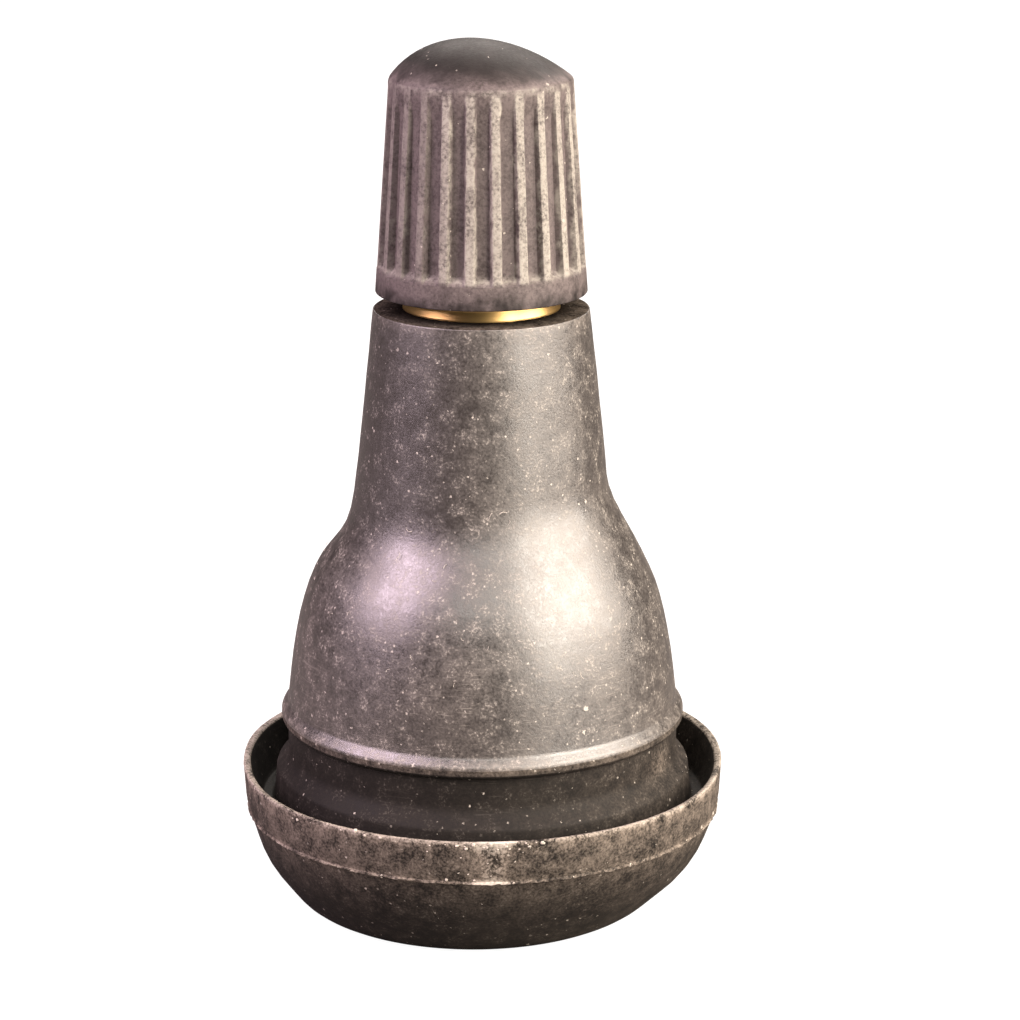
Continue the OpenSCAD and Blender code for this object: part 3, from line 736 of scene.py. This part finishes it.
    @staticmethod
    def settle(body, sizes):
        """Sets the soft moulding askew: the neck tilts, the back of the lip rises and the foot leans."""
        for vertex in body.data.vertices:
            co, radius = vertex.co, vertex.co.xy.length
            near_neck = 1 - smooth_step(abs(co.z - sizes.neck_base_h), 0.3 * MM, 3 * MM)
            if radius > 0.8 * sizes.neck_top_r:
                co.z += sizes.neck_tilt * co.x / sizes.neck_base_r * near_neck
                co.x -= sizes.neck_lean * near_neck
            if radius > sizes.trough_r:
                at_back = smooth_step(co.y, -5 * MM, 4 * MM)
                co.z += sizes.lip_rise * at_back * smooth_step(co.z, sizes.seam_h, sizes.lip_h)
            leaning = sizes.seam_h - 0.5 * sizes.seam_h * smooth_step(co.x, -5 * MM, 5 * MM)
            near_foot = 1 - smooth_step(co.z, 0.0, leaning)
            co.x -= sizes.foot_lean * near_foot * smooth_step(radius, 3 * MM, 7 * MM)

    @staticmethod
    def dust_and_light_at(sizes, top_z, co):
        """Dust lies in clots on the flange, in a thin film on the bell and the neck, and little elsewhere. The
        amount also carries painted light and shade: paler to the right on the underside and the waist, a
        smudge on the waist's right that is partly a painted highlight, and darker on the neck's left.
        """
        radius = co.xy.length
        # Paler towards the right on the underside and the waist: painted light from the lamps on that side
        painted_light_to_right = smooth_step(co.x, 0.0, 8 * MM)
        if co.z < sizes.seam_h - 0.08 * MM:
            return 0.12 + 0.08 * painted_light_to_right + 0.5 * math.exp((co.z - sizes.seam_h) / (0.8 * MM))
        if co.z < sizes.crease_h + 0.2 * MM and radius < sizes.lip_r - sizes.lip_t:
            # A pale smudge on the right of the waist, partly dust and partly a painted highlight
            smudge_and_highlight = math.exp(-((co.x - 8.4 * MM) / (0.4 * MM)) ** 2 - ((co.z - 8 * MM) / (0.6 * MM)) ** 2)
            return 0.05 + 0.12 * painted_light_to_right + 0.7 * smudge_and_highlight
        if co.z < sizes.lip_h + 0.1 * MM:
            lip = math.exp(-((co.z - sizes.lip_h) / (0.4 * MM)) ** 2)
            seam = math.exp(-((co.z - sizes.seam_h) / (0.1 * MM)) ** 2)
            smear = math.exp(-((co.x - 0.45 * MM) / (0.95 * MM)) ** 2) if co.y < 0 else 0.0
            return 0.66 + 0.75 * lip + 0.6 * seam + 0.65 * smear
        if co.z < sizes.crease_h + sizes.bead_t:
            return 0.45
        # No dust inside the neck or on its top under the cap, which keeps that top dark: painted shade under
        # the cap
        if radius < sizes.neck_top_r - 0.1 * MM:
            return 0.0
        # Less dust on the neck's left makes it darker: painted shade on that side. The pale line along the
        # neck's top edge is partly dust and partly a painted highlight on that edge.
        on_neck = smooth_step(co.z, sizes.neck_base_h - 1 * MM, sizes.neck_base_h + 1 * MM)
        rim = math.exp((co.z - top_z) / (0.2 * MM))
        return 0.25 - 0.2 * on_neck * smooth_step(-co.x, -1 * MM, 3 * MM) + 0.4 * rim

    @staticmethod
    def crumbs(sizes):
        """Crumbs of dust and rubber on the flange's band, most of them near its front."""
        chance = random.Random(11)
        bpy.ops.object.select_all(action="DESELECT")
        bpy.ops.mesh.primitive_ico_sphere_add(subdivisions=2, radius=0.06 * MM)
        first = bpy.context.object
        bpy.ops.object.mode_set(mode="EDIT")
        bpy.ops.transform.vertex_random(offset=0.02 * MM, seed=2)
        bpy.ops.object.mode_set(mode="OBJECT")

        def put():
            size = chance.uniform(0.4, 1.9)
            near_lip = sizes.lip_h - chance.uniform(0.06, 0.4) * MM
            on_band = chance.uniform(sizes.seam_h, sizes.lip_h)
            level = chance.choice((near_lip, sizes.seam_h, on_band))
            along = (level - sizes.seam_h) / (sizes.lip_h - sizes.seam_h)
            radius = sizes.seam_r + (sizes.lip_r - sizes.seam_r) * along - 0.03 * MM * size
            turn = chance.gauss(0.04, 0.12 if chance.random() < 0.4 else 0.7)
            bpy.ops.transform.resize(value=(size, size, size * chance.uniform(0.5, 1)))
            bpy.ops.transform.translate(value=(radius * math.sin(turn), -radius * math.cos(turn), level))

        return scatter(first, 90, put)

    @staticmethod
    def lint(profile):
        """Bits of lint on the bell and the neck, lying flat on the rubber."""
        chance = random.Random(23)
        first = wire_end(5, 0.014 * MM, 0.25 * MM)
        bpy.ops.mesh.spin(steps=8, angle=1.5, center=(0, 0, 0), axis=(0, 0, 1))
        close_up(60)

        def put():
            height = chance.uniform(profile[0].y, profile[-1].y)
            low, high = next(pair for pair in zip(profile, profile[1:]) if pair[1].y >= height)
            at = low.lerp(high, (height - low.y) / (high.y - low.y))
            rise = (high - low).normalized()
            turn = chance.gauss(0, 0.5) if chance.random() < 0.5 else chance.uniform(-math.pi, math.pi)
            out = Vector((rise.y * math.sin(turn), -rise.y * math.cos(turn), -rise.x))
            along = Vector((math.cos(turn), math.sin(turn), 0))
            along.rotate(Quaternion(out, chance.uniform(0, math.tau)))
            stretch = Vector((chance.uniform(0.2, 1.2), chance.uniform(0.3, 1.2), 1))
            axes = Matrix((along, out.cross(along), out)).transposed()
            place = Matrix.Translation((at.x * math.sin(turn), -at.x * math.cos(turn), at.y))
            bpy.context.object.matrix_world = place @ axes.to_4x4() @ Matrix.Diagonal(stretch).to_4x4()

        return scatter(first, 40, put)


class MESH_OT_valve_stem(bpy.types.Operator):
    """Turn the brass stem, with its valve thread and bore"""

    bl_idname = "mesh.valve_stem"
    bl_label = "Stem"

    def execute(self, context):
        sizes = context.scene.valve_stem
        foot_z, rim_z, foot_r = span("stem")
        body_top = span("rubber_body")[1]
        plug_foot = span("core_plug")[0]
        gasket_foot, gasket_top, _ = span("barrel_gasket")
        shank_r = sizes.shank_r
        foot_top = foot_z + sizes.foot_h
        shank_z = foot_top + foot_r - shank_r
        thread_low = span("cap")[0] + sizes.thread_start
        thread_high = rim_z - 0.42 * MM
        neck_end = thread_low - 0.25 * MM
        neck_foot = body_top - sizes.neck_depth
        outline = [
            (sizes.neck_r, neck_end, 0),
            (sizes.neck_r, body_top + 0.44 * MM, 0.25 * MM),
            (sizes.neck_r + sizes.collar, body_top + 0.06 * MM, 0.05 * MM),
            (sizes.neck_r + sizes.collar, body_top - 0.04 * MM, 0),
            (sizes.neck_r, body_top - 0.08 * MM, 0),
            (sizes.neck_r, neck_foot, 0),
            (shank_r, neck_foot - sizes.step_h, 0),
        ]
        # Grooves in the shank hold the rubber
        groove_pitch, floor_r = 1.6 * MM, shank_r - 0.4 * MM
        half_mouth, half_floor = 0.76 * MM, 0.4 * MM
        for i in (3, 2, 1):
            groove = shank_z + i * groove_pitch
            outline += [
                (shank_r, groove + half_mouth, 0.03 * MM),
                (floor_r, groove + half_floor, 0.05 * MM),
                (floor_r, groove - half_floor, 0.05 * MM),
                (shank_r, groove - half_mouth, 0.03 * MM),
            ]
        outline += [
            (shank_r, shank_z, 0.1 * MM),
            (foot_r, foot_top, 0.1 * MM),
            (foot_r, foot_z, 0.1 * MM),
            (sizes.bore_r, foot_z, 0.1 * MM),
            (sizes.bore_r, gasket_foot, 0),
            (sizes.seat_r, gasket_top, 0),
            (sizes.seat_r, plug_foot - 0.3 * MM, 0),
            (sizes.core_r, plug_foot, 0),
            (sizes.core_r, rim_z - 0.25 * MM, 0.05 * MM),
            (sizes.core_r + 0.25 * MM, rim_z, 0.05 * MM),
            (sizes.root_r - sizes.rim_inset, rim_z, 0),
        ]
        piece = threaded(
            "stem_turned", outline, sizes.root_r, sizes.crest_r, sizes.pitch, thread_low, thread_high
        )
        hand_over(piece, "stem", "valve", context.scene.valve_brass)
        return {"FINISHED"}


class MESH_OT_valve_cap(bpy.types.Operator):
    """Model one rib of the cap and copy it round, with the dome, the skirt and the thread inside"""

    bl_idname = "mesh.valve_cap"
    bl_label = "Cap"

    def execute(self, context):
        sizes = context.scene.valve_cap
        stem = context.scene.valve_stem
        solid_low, solid_top, foot_r = span("cap")
        low_z = solid_low - sizes.hem
        top_z = solid_top - sizes.dome_drop
        ceiling_z = span("cap_washer")[1]
        shoulder_z = top_z - sizes.dome_h
        slope = (sizes.shoulder_r - foot_r) / (shoulder_z - low_z)
        groove_low = low_z + sizes.skirt_h
        shelf_z = groove_low + sizes.shelf_h
        groove_top = shoulder_z - sizes.band_h
        clearance, lead = 0.08 * MM, 0.2 * MM
        bore_r = stem.crest_r + clearance
        thread_low = low_z + 0.6 * MM
        thread_high = ceiling_z - 1.4 * MM
        inner = [(0, ceiling_z, 0), (bore_r, ceiling_z, 0.15 * MM), (bore_r, thread_high + lead, 0)]
        sphere_r = (sizes.shoulder_r ** 2 + sizes.dome_h ** 2) / (2 * sizes.dome_h)
        edge_turn = math.asin(sizes.shoulder_r / sphere_r)
        outer = [
            (bore_r, thread_low - lead, 0),
            (bore_r + 0.35 * MM, low_z, 0.06 * MM),
            (foot_r, low_z, 0.06 * MM),
            (foot_r + slope * (groove_low - low_z), groove_low, 0),
            (foot_r + slope * (shelf_z - low_z), shelf_z, 0),
            (sizes.shoulder_r, shoulder_z, 0.45 * MM),
        ]
        dome_steps, columns = 12, 24
        for k in range(1, dome_steps + 1):
            turn = edge_turn * (1 - k / dome_steps)
            outer.append((sphere_r * math.sin(turn), top_z - sphere_r * (1 - math.cos(turn)), 0))
        piece = draw_section("cap_ribbed", evenly(rounded(outer), 0.25 * MM))
        rib_angle = math.tau / sizes.rib_count
        spin(columns, rib_angle)
        self.press_groove(piece, sizes, columns, groove_low, groove_top)
        spin(sizes.rib_count - 1, math.tau - rib_angle, copies=True)
        # The dome leans: each of its rows moves the further, the higher it lies
        for z in self.rows(piece, shoulder_z, math.inf):
            pick(piece, lambda co: abs(co.z - z) < WELD)
            lean = sizes.dome_lean * (z - shoulder_z) / sizes.dome_h
            bpy.ops.transform.translate(value=(-lean, 0, 0))
        bpy.ops.mesh.select_all(action="SELECT")
        # transform.rotate turns clockwise from above for a positive angle
        half_rib = rib_angle / 2
        bpy.ops.transform.rotate(
            value=half_rib - sizes.rib_phase, orient_axis="Z", center_override=(0, 0, 0)
        )
        bpy.ops.object.mode_set(mode="OBJECT")
        ceiling = draw_section("cap_ceiling", rounded(inner))
        revolve(96)
        bpy.ops.object.mode_set(mode="OBJECT")
        # The cap's thread runs half a turn off the stem's, in the middle of its roots
        phase = 0.5 - (thread_low - solid_low - stem.thread_start) / stem.pitch
        crest_r = stem.root_r + clearance
        thread = thread_tube("cap_thread", bore_r, crest_r, stem.pitch, thread_low, thread_high, phase)
        joined(piece, ceiling, thread)
        bpy.ops.object.mode_set(mode="EDIT")
        bridge_rims(piece, (thread_low - lead, thread_low), (thread_high, thread_high + lead))
        close_up(40)

        def wear_and_light_at(co):
            radius = co.xy.length
            clots = noise.noise(co / (0.7 * MM)) + 0.7 * noise.noise(co / (0.25 * MM))
            near_shoulder = math.exp(-((co.z - shoulder_z + 0.1 * MM) / (0.3 * MM)) ** 2)
            fuzz = max(0.0, 0.22 + 0.3 * clots) * near_shoulder
            if co.z > shoulder_z:
                near_edge = smooth_step(radius, 0.7 * sizes.shoulder_r, sizes.shoulder_r)
                return 0.03 + 0.04 * clots + 0.14 * near_edge + fuzz
            if co.z < groove_low:
                return 0.12 + 0.14 * clots + 0.24 * smooth_step(co.z, low_z, groove_low)
            ribs = (math.atan2(co.y, co.x) - sizes.rib_phase) / rib_angle
            off_rib = abs(2 * (ribs % 1) - 1)
            worn = 1 - smooth_step(off_rib + 0.2 * clots, *RIB_FLANK)
            worn *= smooth_step(groove_top - co.z, 0.0, 0.4 * MM)
            # No two ribs are rubbed alike. The ribs on the left are painted darker, painted shade where the
            # light from the left is weak, and those on the far right are made a little darker too.
            worn *= 1.0 + 0.35 * noise.noise(Vector((1.7 * math.floor(ribs), 0.5, co.z / (3 * MM))))
            clear_of_left_shade = smooth_step(co.x, -2.5 * MM, -0.8 * MM)
            far_right = smooth_step(co.x, 1.4 * MM, 3 * MM)
            worn *= 0.4 + 0.6 * clear_of_left_shade - 0.1 * far_right
            # The sloping shelf at a groove's foot is painted pale: a painted highlight where it faces the
            # light from above
            on_shelf = 1 - smooth_step(co.z, shelf_z - 0.1 * MM, shelf_z + 0.1 * MM)
            return 0.33 + fuzz + (0.67 + 0.2 * clots) * max(worn, 0.6 * on_shelf)

        paint(piece, "wear", wear_and_light_at)
        hand_over(piece, "cap", "cap", cap_plastic(context.scene.valve_colours))
        return {"FINISHED"}

    @staticmethod
    def rows(piece, low, high):
        """Levels of the rows of vertices between two heights, from low to high."""
        levels = {round(v.co.z / WELD) for v in bmesh.from_edit_mesh(piece.data).verts if low < v.co.z < high}
        return [level * WELD for level in sorted(levels)]

    def press_groove(self, piece, sizes, columns, groove_low, groove_top):
        """Presses one groove in, row by row: flat-floored with soft sides, fading out at its top."""
        rib_angle = math.tau / sizes.rib_count
        for z in self.rows(piece, groove_low, groove_top):
            along = (z - groove_low) / (groove_top - groove_low)
            depth = sizes.groove_depth + (sizes.groove_top_depth - sizes.groove_depth) * along
            fade = min(1.0, (groove_top - z) / sizes.groove_fade)
            depth *= fade * fade * (3 - 2 * fade) * min(1.0, (z - groove_low) / sizes.shelf_h)
            for column in range(columns // 2 + 1):
                press = smooth_step(column / columns * 2, *RIB_FLANK)
                if press == 0:
                    continue

                def in_column(co):
                    place = round((math.atan2(co.y, co.x) % math.tau) / rib_angle * columns)
                    return abs(co.z - z) < WELD and place in (column, columns - column)

                pick(piece, in_column)
                radius = next(v.co.xy.length for v in bmesh.from_edit_mesh(piece.data).verts if v.select)
                scale = 1 - depth * press / radius
                bpy.ops.transform.resize(value=(scale, scale, 1), center_override=(0, 0, z))


class MESH_OT_valve_core(bpy.types.Operator):
    """Model the brass pieces of the core: plug, barrel, pin and cup"""

    bl_idname = "mesh.valve_core"
    bl_label = "Core"

    def execute(self, context):
        sizes = context.scene.valve_core
        for piece, node, body in (
            (self.plug(sizes, context.scene.valve_stem.core_pitch), "core_plug", "valve"),
            (self.barrel(sizes), "core_barrel", "valve"),
            (self.pin(sizes), "core_pin", "plunger"),
            (self.cup(sizes), "plunger_cup", "plunger"),
        ):
            hand_over(piece, node, body, context.scene.valve_brass)
        return {"FINISHED"}

    @staticmethod
    def plug(sizes, pitch):
        """The plug's thread and chamber, with two ears left between flats cut across its top."""
        foot_z, top_z, plug_r = span("core_plug")
        ear_foot = top_z - sizes.ear_h
        chamber_top = ear_foot + 0.8 * MM
        low, high = foot_z + 0.35 * MM, ear_foot - 0.35 * MM
        end_r, lead_r, lead = plug_r - 0.25 * MM, plug_r - 0.2 * MM, 0.15 * MM
        outline = [
            (lead_r, high + lead, 0),
            (end_r, ear_foot, 0.05 * MM),
            (sizes.ear_r, ear_foot, 0.05 * MM),
            (sizes.ear_r, top_z, 0.12 * MM),
            (sizes.guide_r, top_z, 0.06 * MM),
            (sizes.guide_r, chamber_top, 0.05 * MM),
            (sizes.chamber_r, chamber_top, 0.05 * MM),
            (sizes.chamber_r, foot_z, 0.06 * MM),
            (end_r, foot_z, 0.05 * MM),
            (lead_r, low - lead, 0),
        ]
        root_r = plug_r - sizes.thread_h
        plug = threaded("core_plug_turned", outline, root_r, plug_r, pitch, low, high)
        block = 4 * MM
        flat_y = (sizes.ear_w + block) / 2
        flat_z = ear_foot + 0.01 * MM + block / 2
        for side in (-1, 1):
            bpy.ops.object.select_all(action="DESELECT")
            bpy.ops.mesh.primitive_cube_add(size=block, location=(0, side * flat_y, flat_z))
            flat = bpy.context.object
            apply_modifier(plug, "BOOLEAN", object=flat, operation="DIFFERENCE", solver="EXACT")
            bpy.data.objects.remove(flat)
        take(plug)
        bpy.ops.object.shade_smooth_by_angle(angle=math.radians(30))
        return plug

    @staticmethod
    def barrel(sizes):
        """The barrel, with a neck for its gasket and the lower half of the spring's chamber."""
        foot_z, top_z, head_r = span("core_barrel")
        gasket_foot, gasket_top, _ = span("barrel_gasket")
        spring_foot = span("core_spring")[0]
        return turned("core_barrel_turned", [
            (sizes.air_r, foot_z, 0.06 * MM),
            (sizes.barrel_r, foot_z, 0.08 * MM),
            (sizes.barrel_r, gasket_foot, 0.04 * MM),
            (sizes.neck_r, gasket_foot, 0.02 * MM),
            (sizes.neck_r, gasket_top, 0.02 * MM),
            (head_r, gasket_top, 0.06 * MM),
            (head_r, top_z, 0.06 * MM),
            (sizes.chamber_r, top_z, 0.05 * MM),
            (sizes.chamber_r, spring_foot, 0.05 * MM),
            (sizes.air_r, spring_foot, 0.06 * MM),
        ])

    @staticmethod
    def pin(sizes):
        """The pin, with its foot, spring collar and head."""
        foot_z, top_z, collar_r = span("core_pin")
        cup_foot = span("plunger_cup")[0]
        collar_z = span("core_spring")[1]
        collar_top = collar_z + sizes.collar_h
        head_z = top_z - sizes.pin_head_h
        return turned("core_pin_turned", [
            (0, foot_z, 0),
            (sizes.pin_foot_r, foot_z, 0.12 * MM),
            (sizes.pin_foot_r, cup_foot, 0.04 * MM),
            (sizes.pin_r, cup_foot, 0),
            (sizes.pin_r, collar_z, 0.04 * MM),
            (collar_r, collar_z, 0.06 * MM),
            (collar_r, collar_top, 0.06 * MM),
            (sizes.pin_r, collar_top, 0.04 * MM),
            (sizes.pin_r, head_z, 0.04 * MM),
            (sizes.pin_head_r, head_z, 0.06 * MM),
            (sizes.pin_head_r, top_z, 0.15 * MM),
            (0, top_z, 0),
        ], steps=48)

    @staticmethod
    def cup(sizes):
        """The cup on the pin's foot, with a pocket for its gasket."""
        foot_z, rim_z, cup_r = span("plunger_cup")
        pocket_z, _, pocket_r = span("cup_gasket")
        return turned("plunger_cup_drawn", [
            (sizes.pin_r, foot_z, 0),
            (cup_r, foot_z, 0.15 * MM),
            (cup_r, rim_z, 0.08 * MM),
            (pocket_r, rim_z, 0.08 * MM),
            (pocket_r, pocket_z, 0.08 * MM),
            (sizes.pin_r, pocket_z, 0),
        ], steps=64)


class MESH_OT_valve_spring(bpy.types.Operator):
    """Wind the core's spring with a closed turn at each end"""

    bl_idname = "mesh.valve_spring"
    bl_label = "Spring"

    def execute(self, context):
        foot_z, top_z, outer_r = span("core_spring")
        wire_r = context.scene.valve_core.wire_r
        open_turns, turn_steps = 5, 24
        open_rise = top_z - foot_z - 6 * wire_r
        spring = wire_end(12, wire_r, outer_r - wire_r, foot_z + wire_r)
        spring.name = spring.data.name = "core_spring_wound"
        for step in range((open_turns + 2) * turn_steps):
            closed = step < turn_steps or step >= (open_turns + 1) * turn_steps
            rise = 2 * wire_r / turn_steps if closed else open_rise / open_turns / turn_steps
            bpy.ops.mesh.spin(steps=1, angle=math.tau / turn_steps, center=(0, 0, 0), axis=(0, 0, 1))
            bpy.ops.transform.translate(value=(0, 0, rise))
        close_up(60)
        hand_over(spring, "core_spring", "valve", spring_steel(context.scene.valve_colours))
        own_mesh(spring)
        return {"FINISHED"}


class MESH_OT_valve_seals(bpy.types.Operator):
    """Model the cap's washer and the two seals of the core"""

    bl_idname = "mesh.valve_seals"
    bl_label = "Seals"

    def execute(self, context):
        colours = context.scene.valve_colours
        black = plain_seal("moulded_seal_rubber", colours.seal, 0.1 * MM, 0.55)
        white = plain_seal("turned_ptfe", colours.ptfe, 0.15 * MM, 0.4)
        stem, core = context.scene.valve_stem, context.scene.valve_core
        foot_z, top_z, radius = span("cap_washer")
        rim_r = stem.root_r - stem.rim_inset
        print_z = foot_z + 0.04 * MM
        washer = turned("cap_washer_pressed", [
            (0, foot_z, 0),
            (stem.core_r, foot_z, 0),
            (stem.core_r + 0.2 * MM, print_z, 0.05 * MM),
            (rim_r, print_z, 0.05 * MM),
            (rim_r + 0.15 * MM, foot_z, 0),
            (radius, foot_z, 0.12 * MM),
            (radius, top_z, 0.12 * MM),
            (0, top_z, 0),
        ])
        hand_over(washer, "cap_washer", "cap_seal", black)
        foot_z, top_z, radius = span("cup_gasket")
        cup_gasket = turned("cup_gasket_moulded", [
            (core.pin_r, foot_z, 0),
            (radius, foot_z, 0.05 * MM),
            (radius, top_z, 0.15 * MM),
            (core.pin_r, top_z, 0.08 * MM),
        ], steps=64)
        hand_over(cup_gasket, "cup_gasket", "plunger", black)
        foot_z, top_z, radius = span("barrel_gasket")
        barrel_gasket = turned("barrel_gasket_turned", [
            (core.neck_r, foot_z, 0.03 * MM),
            (stem.bore_r, foot_z, 0.05 * MM),
            (radius, top_z, 0.08 * MM),
            (core.neck_r, top_z, 0.03 * MM),
        ])
        hand_over(barrel_gasket, "barrel_gasket", "valve", white)
        return {"FINISHED"}


class SCENE_OT_valve_stage(bpy.types.Operator):
    """Set up the floor, the lamps, the world and the camera"""

    bl_idname = "scene.valve_stage"
    bl_label = "Stage"

    def execute(self, context):
        context.scene.view_settings.view_transform = "Standard"
        bpy.ops.object.select_all(action="DESELECT")
        bpy.ops.mesh.primitive_grid_add(x_subdivisions=8, y_subdivisions=8, size=6)
        floor = context.object
        floor.name = "studio_floor"
        floor.data.materials.append(self.floor_paper())
        self.light_room(context)
        # Lamps stand round the middle of the valve; turn and rise are in degrees, lengths in metres
        middle = Vector((0, 0, 0.02))
        for name, turn, rise, distance, width, height, watts, hex_colour in (
            ("key_lamp", 42, 27, 0.30, 0.08, 0.30, 1.15, "#FFF4E6"),
            ("key_fill", 77, 26, 0.35, 0.26, 0.30, 2.4, "#FFF2E4"),
            ("side_lamp", -72, 37, 0.30, 0.17, 0.24, 1.25, "#FFE4F2"),
            ("front_lamp", -4, 40, 0.40, 0.24, 0.14, 0.45, "#FFF8F0"),
            ("back_lamp", 170, 40, 0.40, 0.30, 0.20, 1.2, "#FFF6EE"),
        ):
            a, e = math.radians(turn), math.radians(rise)
            towards = Vector((math.sin(a) * math.cos(e), -math.cos(a) * math.cos(e), math.sin(e)))
            turned_to = towards.to_track_quat("Z", "Y").to_euler()
            bpy.ops.object.light_add(type="AREA", location=middle + towards * distance, rotation=turned_to)
            lamp = context.object
            lamp.name = lamp.data.name = name
            lamp.data.shape = "RECTANGLE"
            lamp.data.size, lamp.data.size_y = width, height
            lamp.data.energy = watts
            lamp.data.color = linear(hex_colour)[:3]
        # The camera's place, turn and lens were worked out from the outline in the photograph
        tilt, pan = math.pi / 2 - 0.2676, -0.0089
        bpy.ops.object.camera_add(location=(0, -150.38 * MM, 60.46 * MM), rotation=(tilt, 0, pan))
        camera = context.object
        camera.data.lens = 115.21
        camera.data.sensor_width = 36
        camera.data.clip_start = 0.005
        context.scene.camera = camera
        return {"FINISHED"}

    @staticmethod
    def floor_paper():
        """White paper: bright to the camera, with a soft shadow and a weak bounce on the valve."""
        material, tree, shader = new_material("white_paper_sweep")
        path = add(tree, "LightPath")
        glow = add(tree, "Math", {0: path.outputs["Is Camera Ray"], 1: 0.96}, "Value", operation="MULTIPLY")
        shader.inputs["Base Color"].default_value = linear("#747270")
        shader.inputs["Roughness"].default_value = 0.9
        shader.inputs["Specular IOR Level"].default_value = 0.0
        shader.inputs["Emission Color"].default_value = (1, 1, 1, 1)
        tree.links.new(glow, shader.inputs["Emission Strength"])
        return material

    @staticmethod
    def light_room(context):
        """A dim even room round the valve, which looks white to the camera."""
        world = bpy.data.worlds.new("studio_room")
        context.scene.world = world
        world.use_nodes = True
        tree = world.node_tree
        tree.nodes.clear()
        path = add(tree, "LightPath")
        seen = path.outputs["Is Camera Ray"]
        level = add(tree, "MapRange", {"Value": seen, "To Min": 0.06, "To Max": 1.0}, "Result")
        room = add(tree, "Background", {"Color": linear("#FFFFFF"), "Strength": level})
        add(tree, "OutputWorld", {"Surface": room.outputs["Background"]})


class VIEW3D_PT_valve(bpy.types.Panel):
    """Lists the operators that build the valve"""

    bl_label = "Tyre Valve"
    bl_space_type = "VIEW_3D"
    bl_region_type = "UI"
    bl_category = "Tyre Valve"

    def draw(self, context):
        for operator in OPERATORS:
            self.layout.operator(operator.bl_idname)


SIZE_GROUPS = {
    "valve_rubber": ValveRubberSizes,
    "valve_stem": ValveStemSizes,
    "valve_core": ValveCoreSizes,
    "valve_cap": ValveCapSizes,
    "valve_colours": ValveColours,
}
OPERATORS = (
    SCENE_OT_valve_stage,
    MESH_OT_valve_rubber_body,
    MESH_OT_valve_stem,
    MESH_OT_valve_cap,
    MESH_OT_valve_core,
    MESH_OT_valve_spring,
    MESH_OT_valve_seals,
)


def register():
    for group in SIZE_GROUPS.values():
        bpy.utils.register_class(group)
    for name, group in SIZE_GROUPS.items():
        setattr(bpy.types.Scene, name, bpy.props.PointerProperty(type=group))
    bpy.types.Scene.valve_brass = bpy.props.PointerProperty(
        name="Brass", description="The brass that the stem and the core share", type=bpy.types.Material
    )
    for operator in OPERATORS:
        bpy.utils.register_class(operator)
    bpy.utils.register_class(VIEW3D_PT_valve)


def unregister():
    bpy.utils.unregister_class(VIEW3D_PT_valve)
    for operator in reversed(OPERATORS):
        bpy.utils.unregister_class(operator)
    del bpy.types.Scene.valve_brass
    for name in SIZE_GROUPS:
        delattr(bpy.types.Scene, name)
    for group in SIZE_GROUPS.values():
        bpy.utils.unregister_class(group)


def main():
    register()
    scene = bpy.context.scene
    scene.valve_brass = turned_brass(scene.valve_colours)
    bpy.ops.scene.valve_stage()
    bpy.ops.mesh.valve_rubber_body()
    bpy.ops.mesh.valve_stem()
    bpy.ops.mesh.valve_cap()
    bpy.ops.mesh.valve_core()
    bpy.ops.mesh.valve_spring()
    bpy.ops.mesh.valve_seals()


if __name__ == "__main__":
    main()
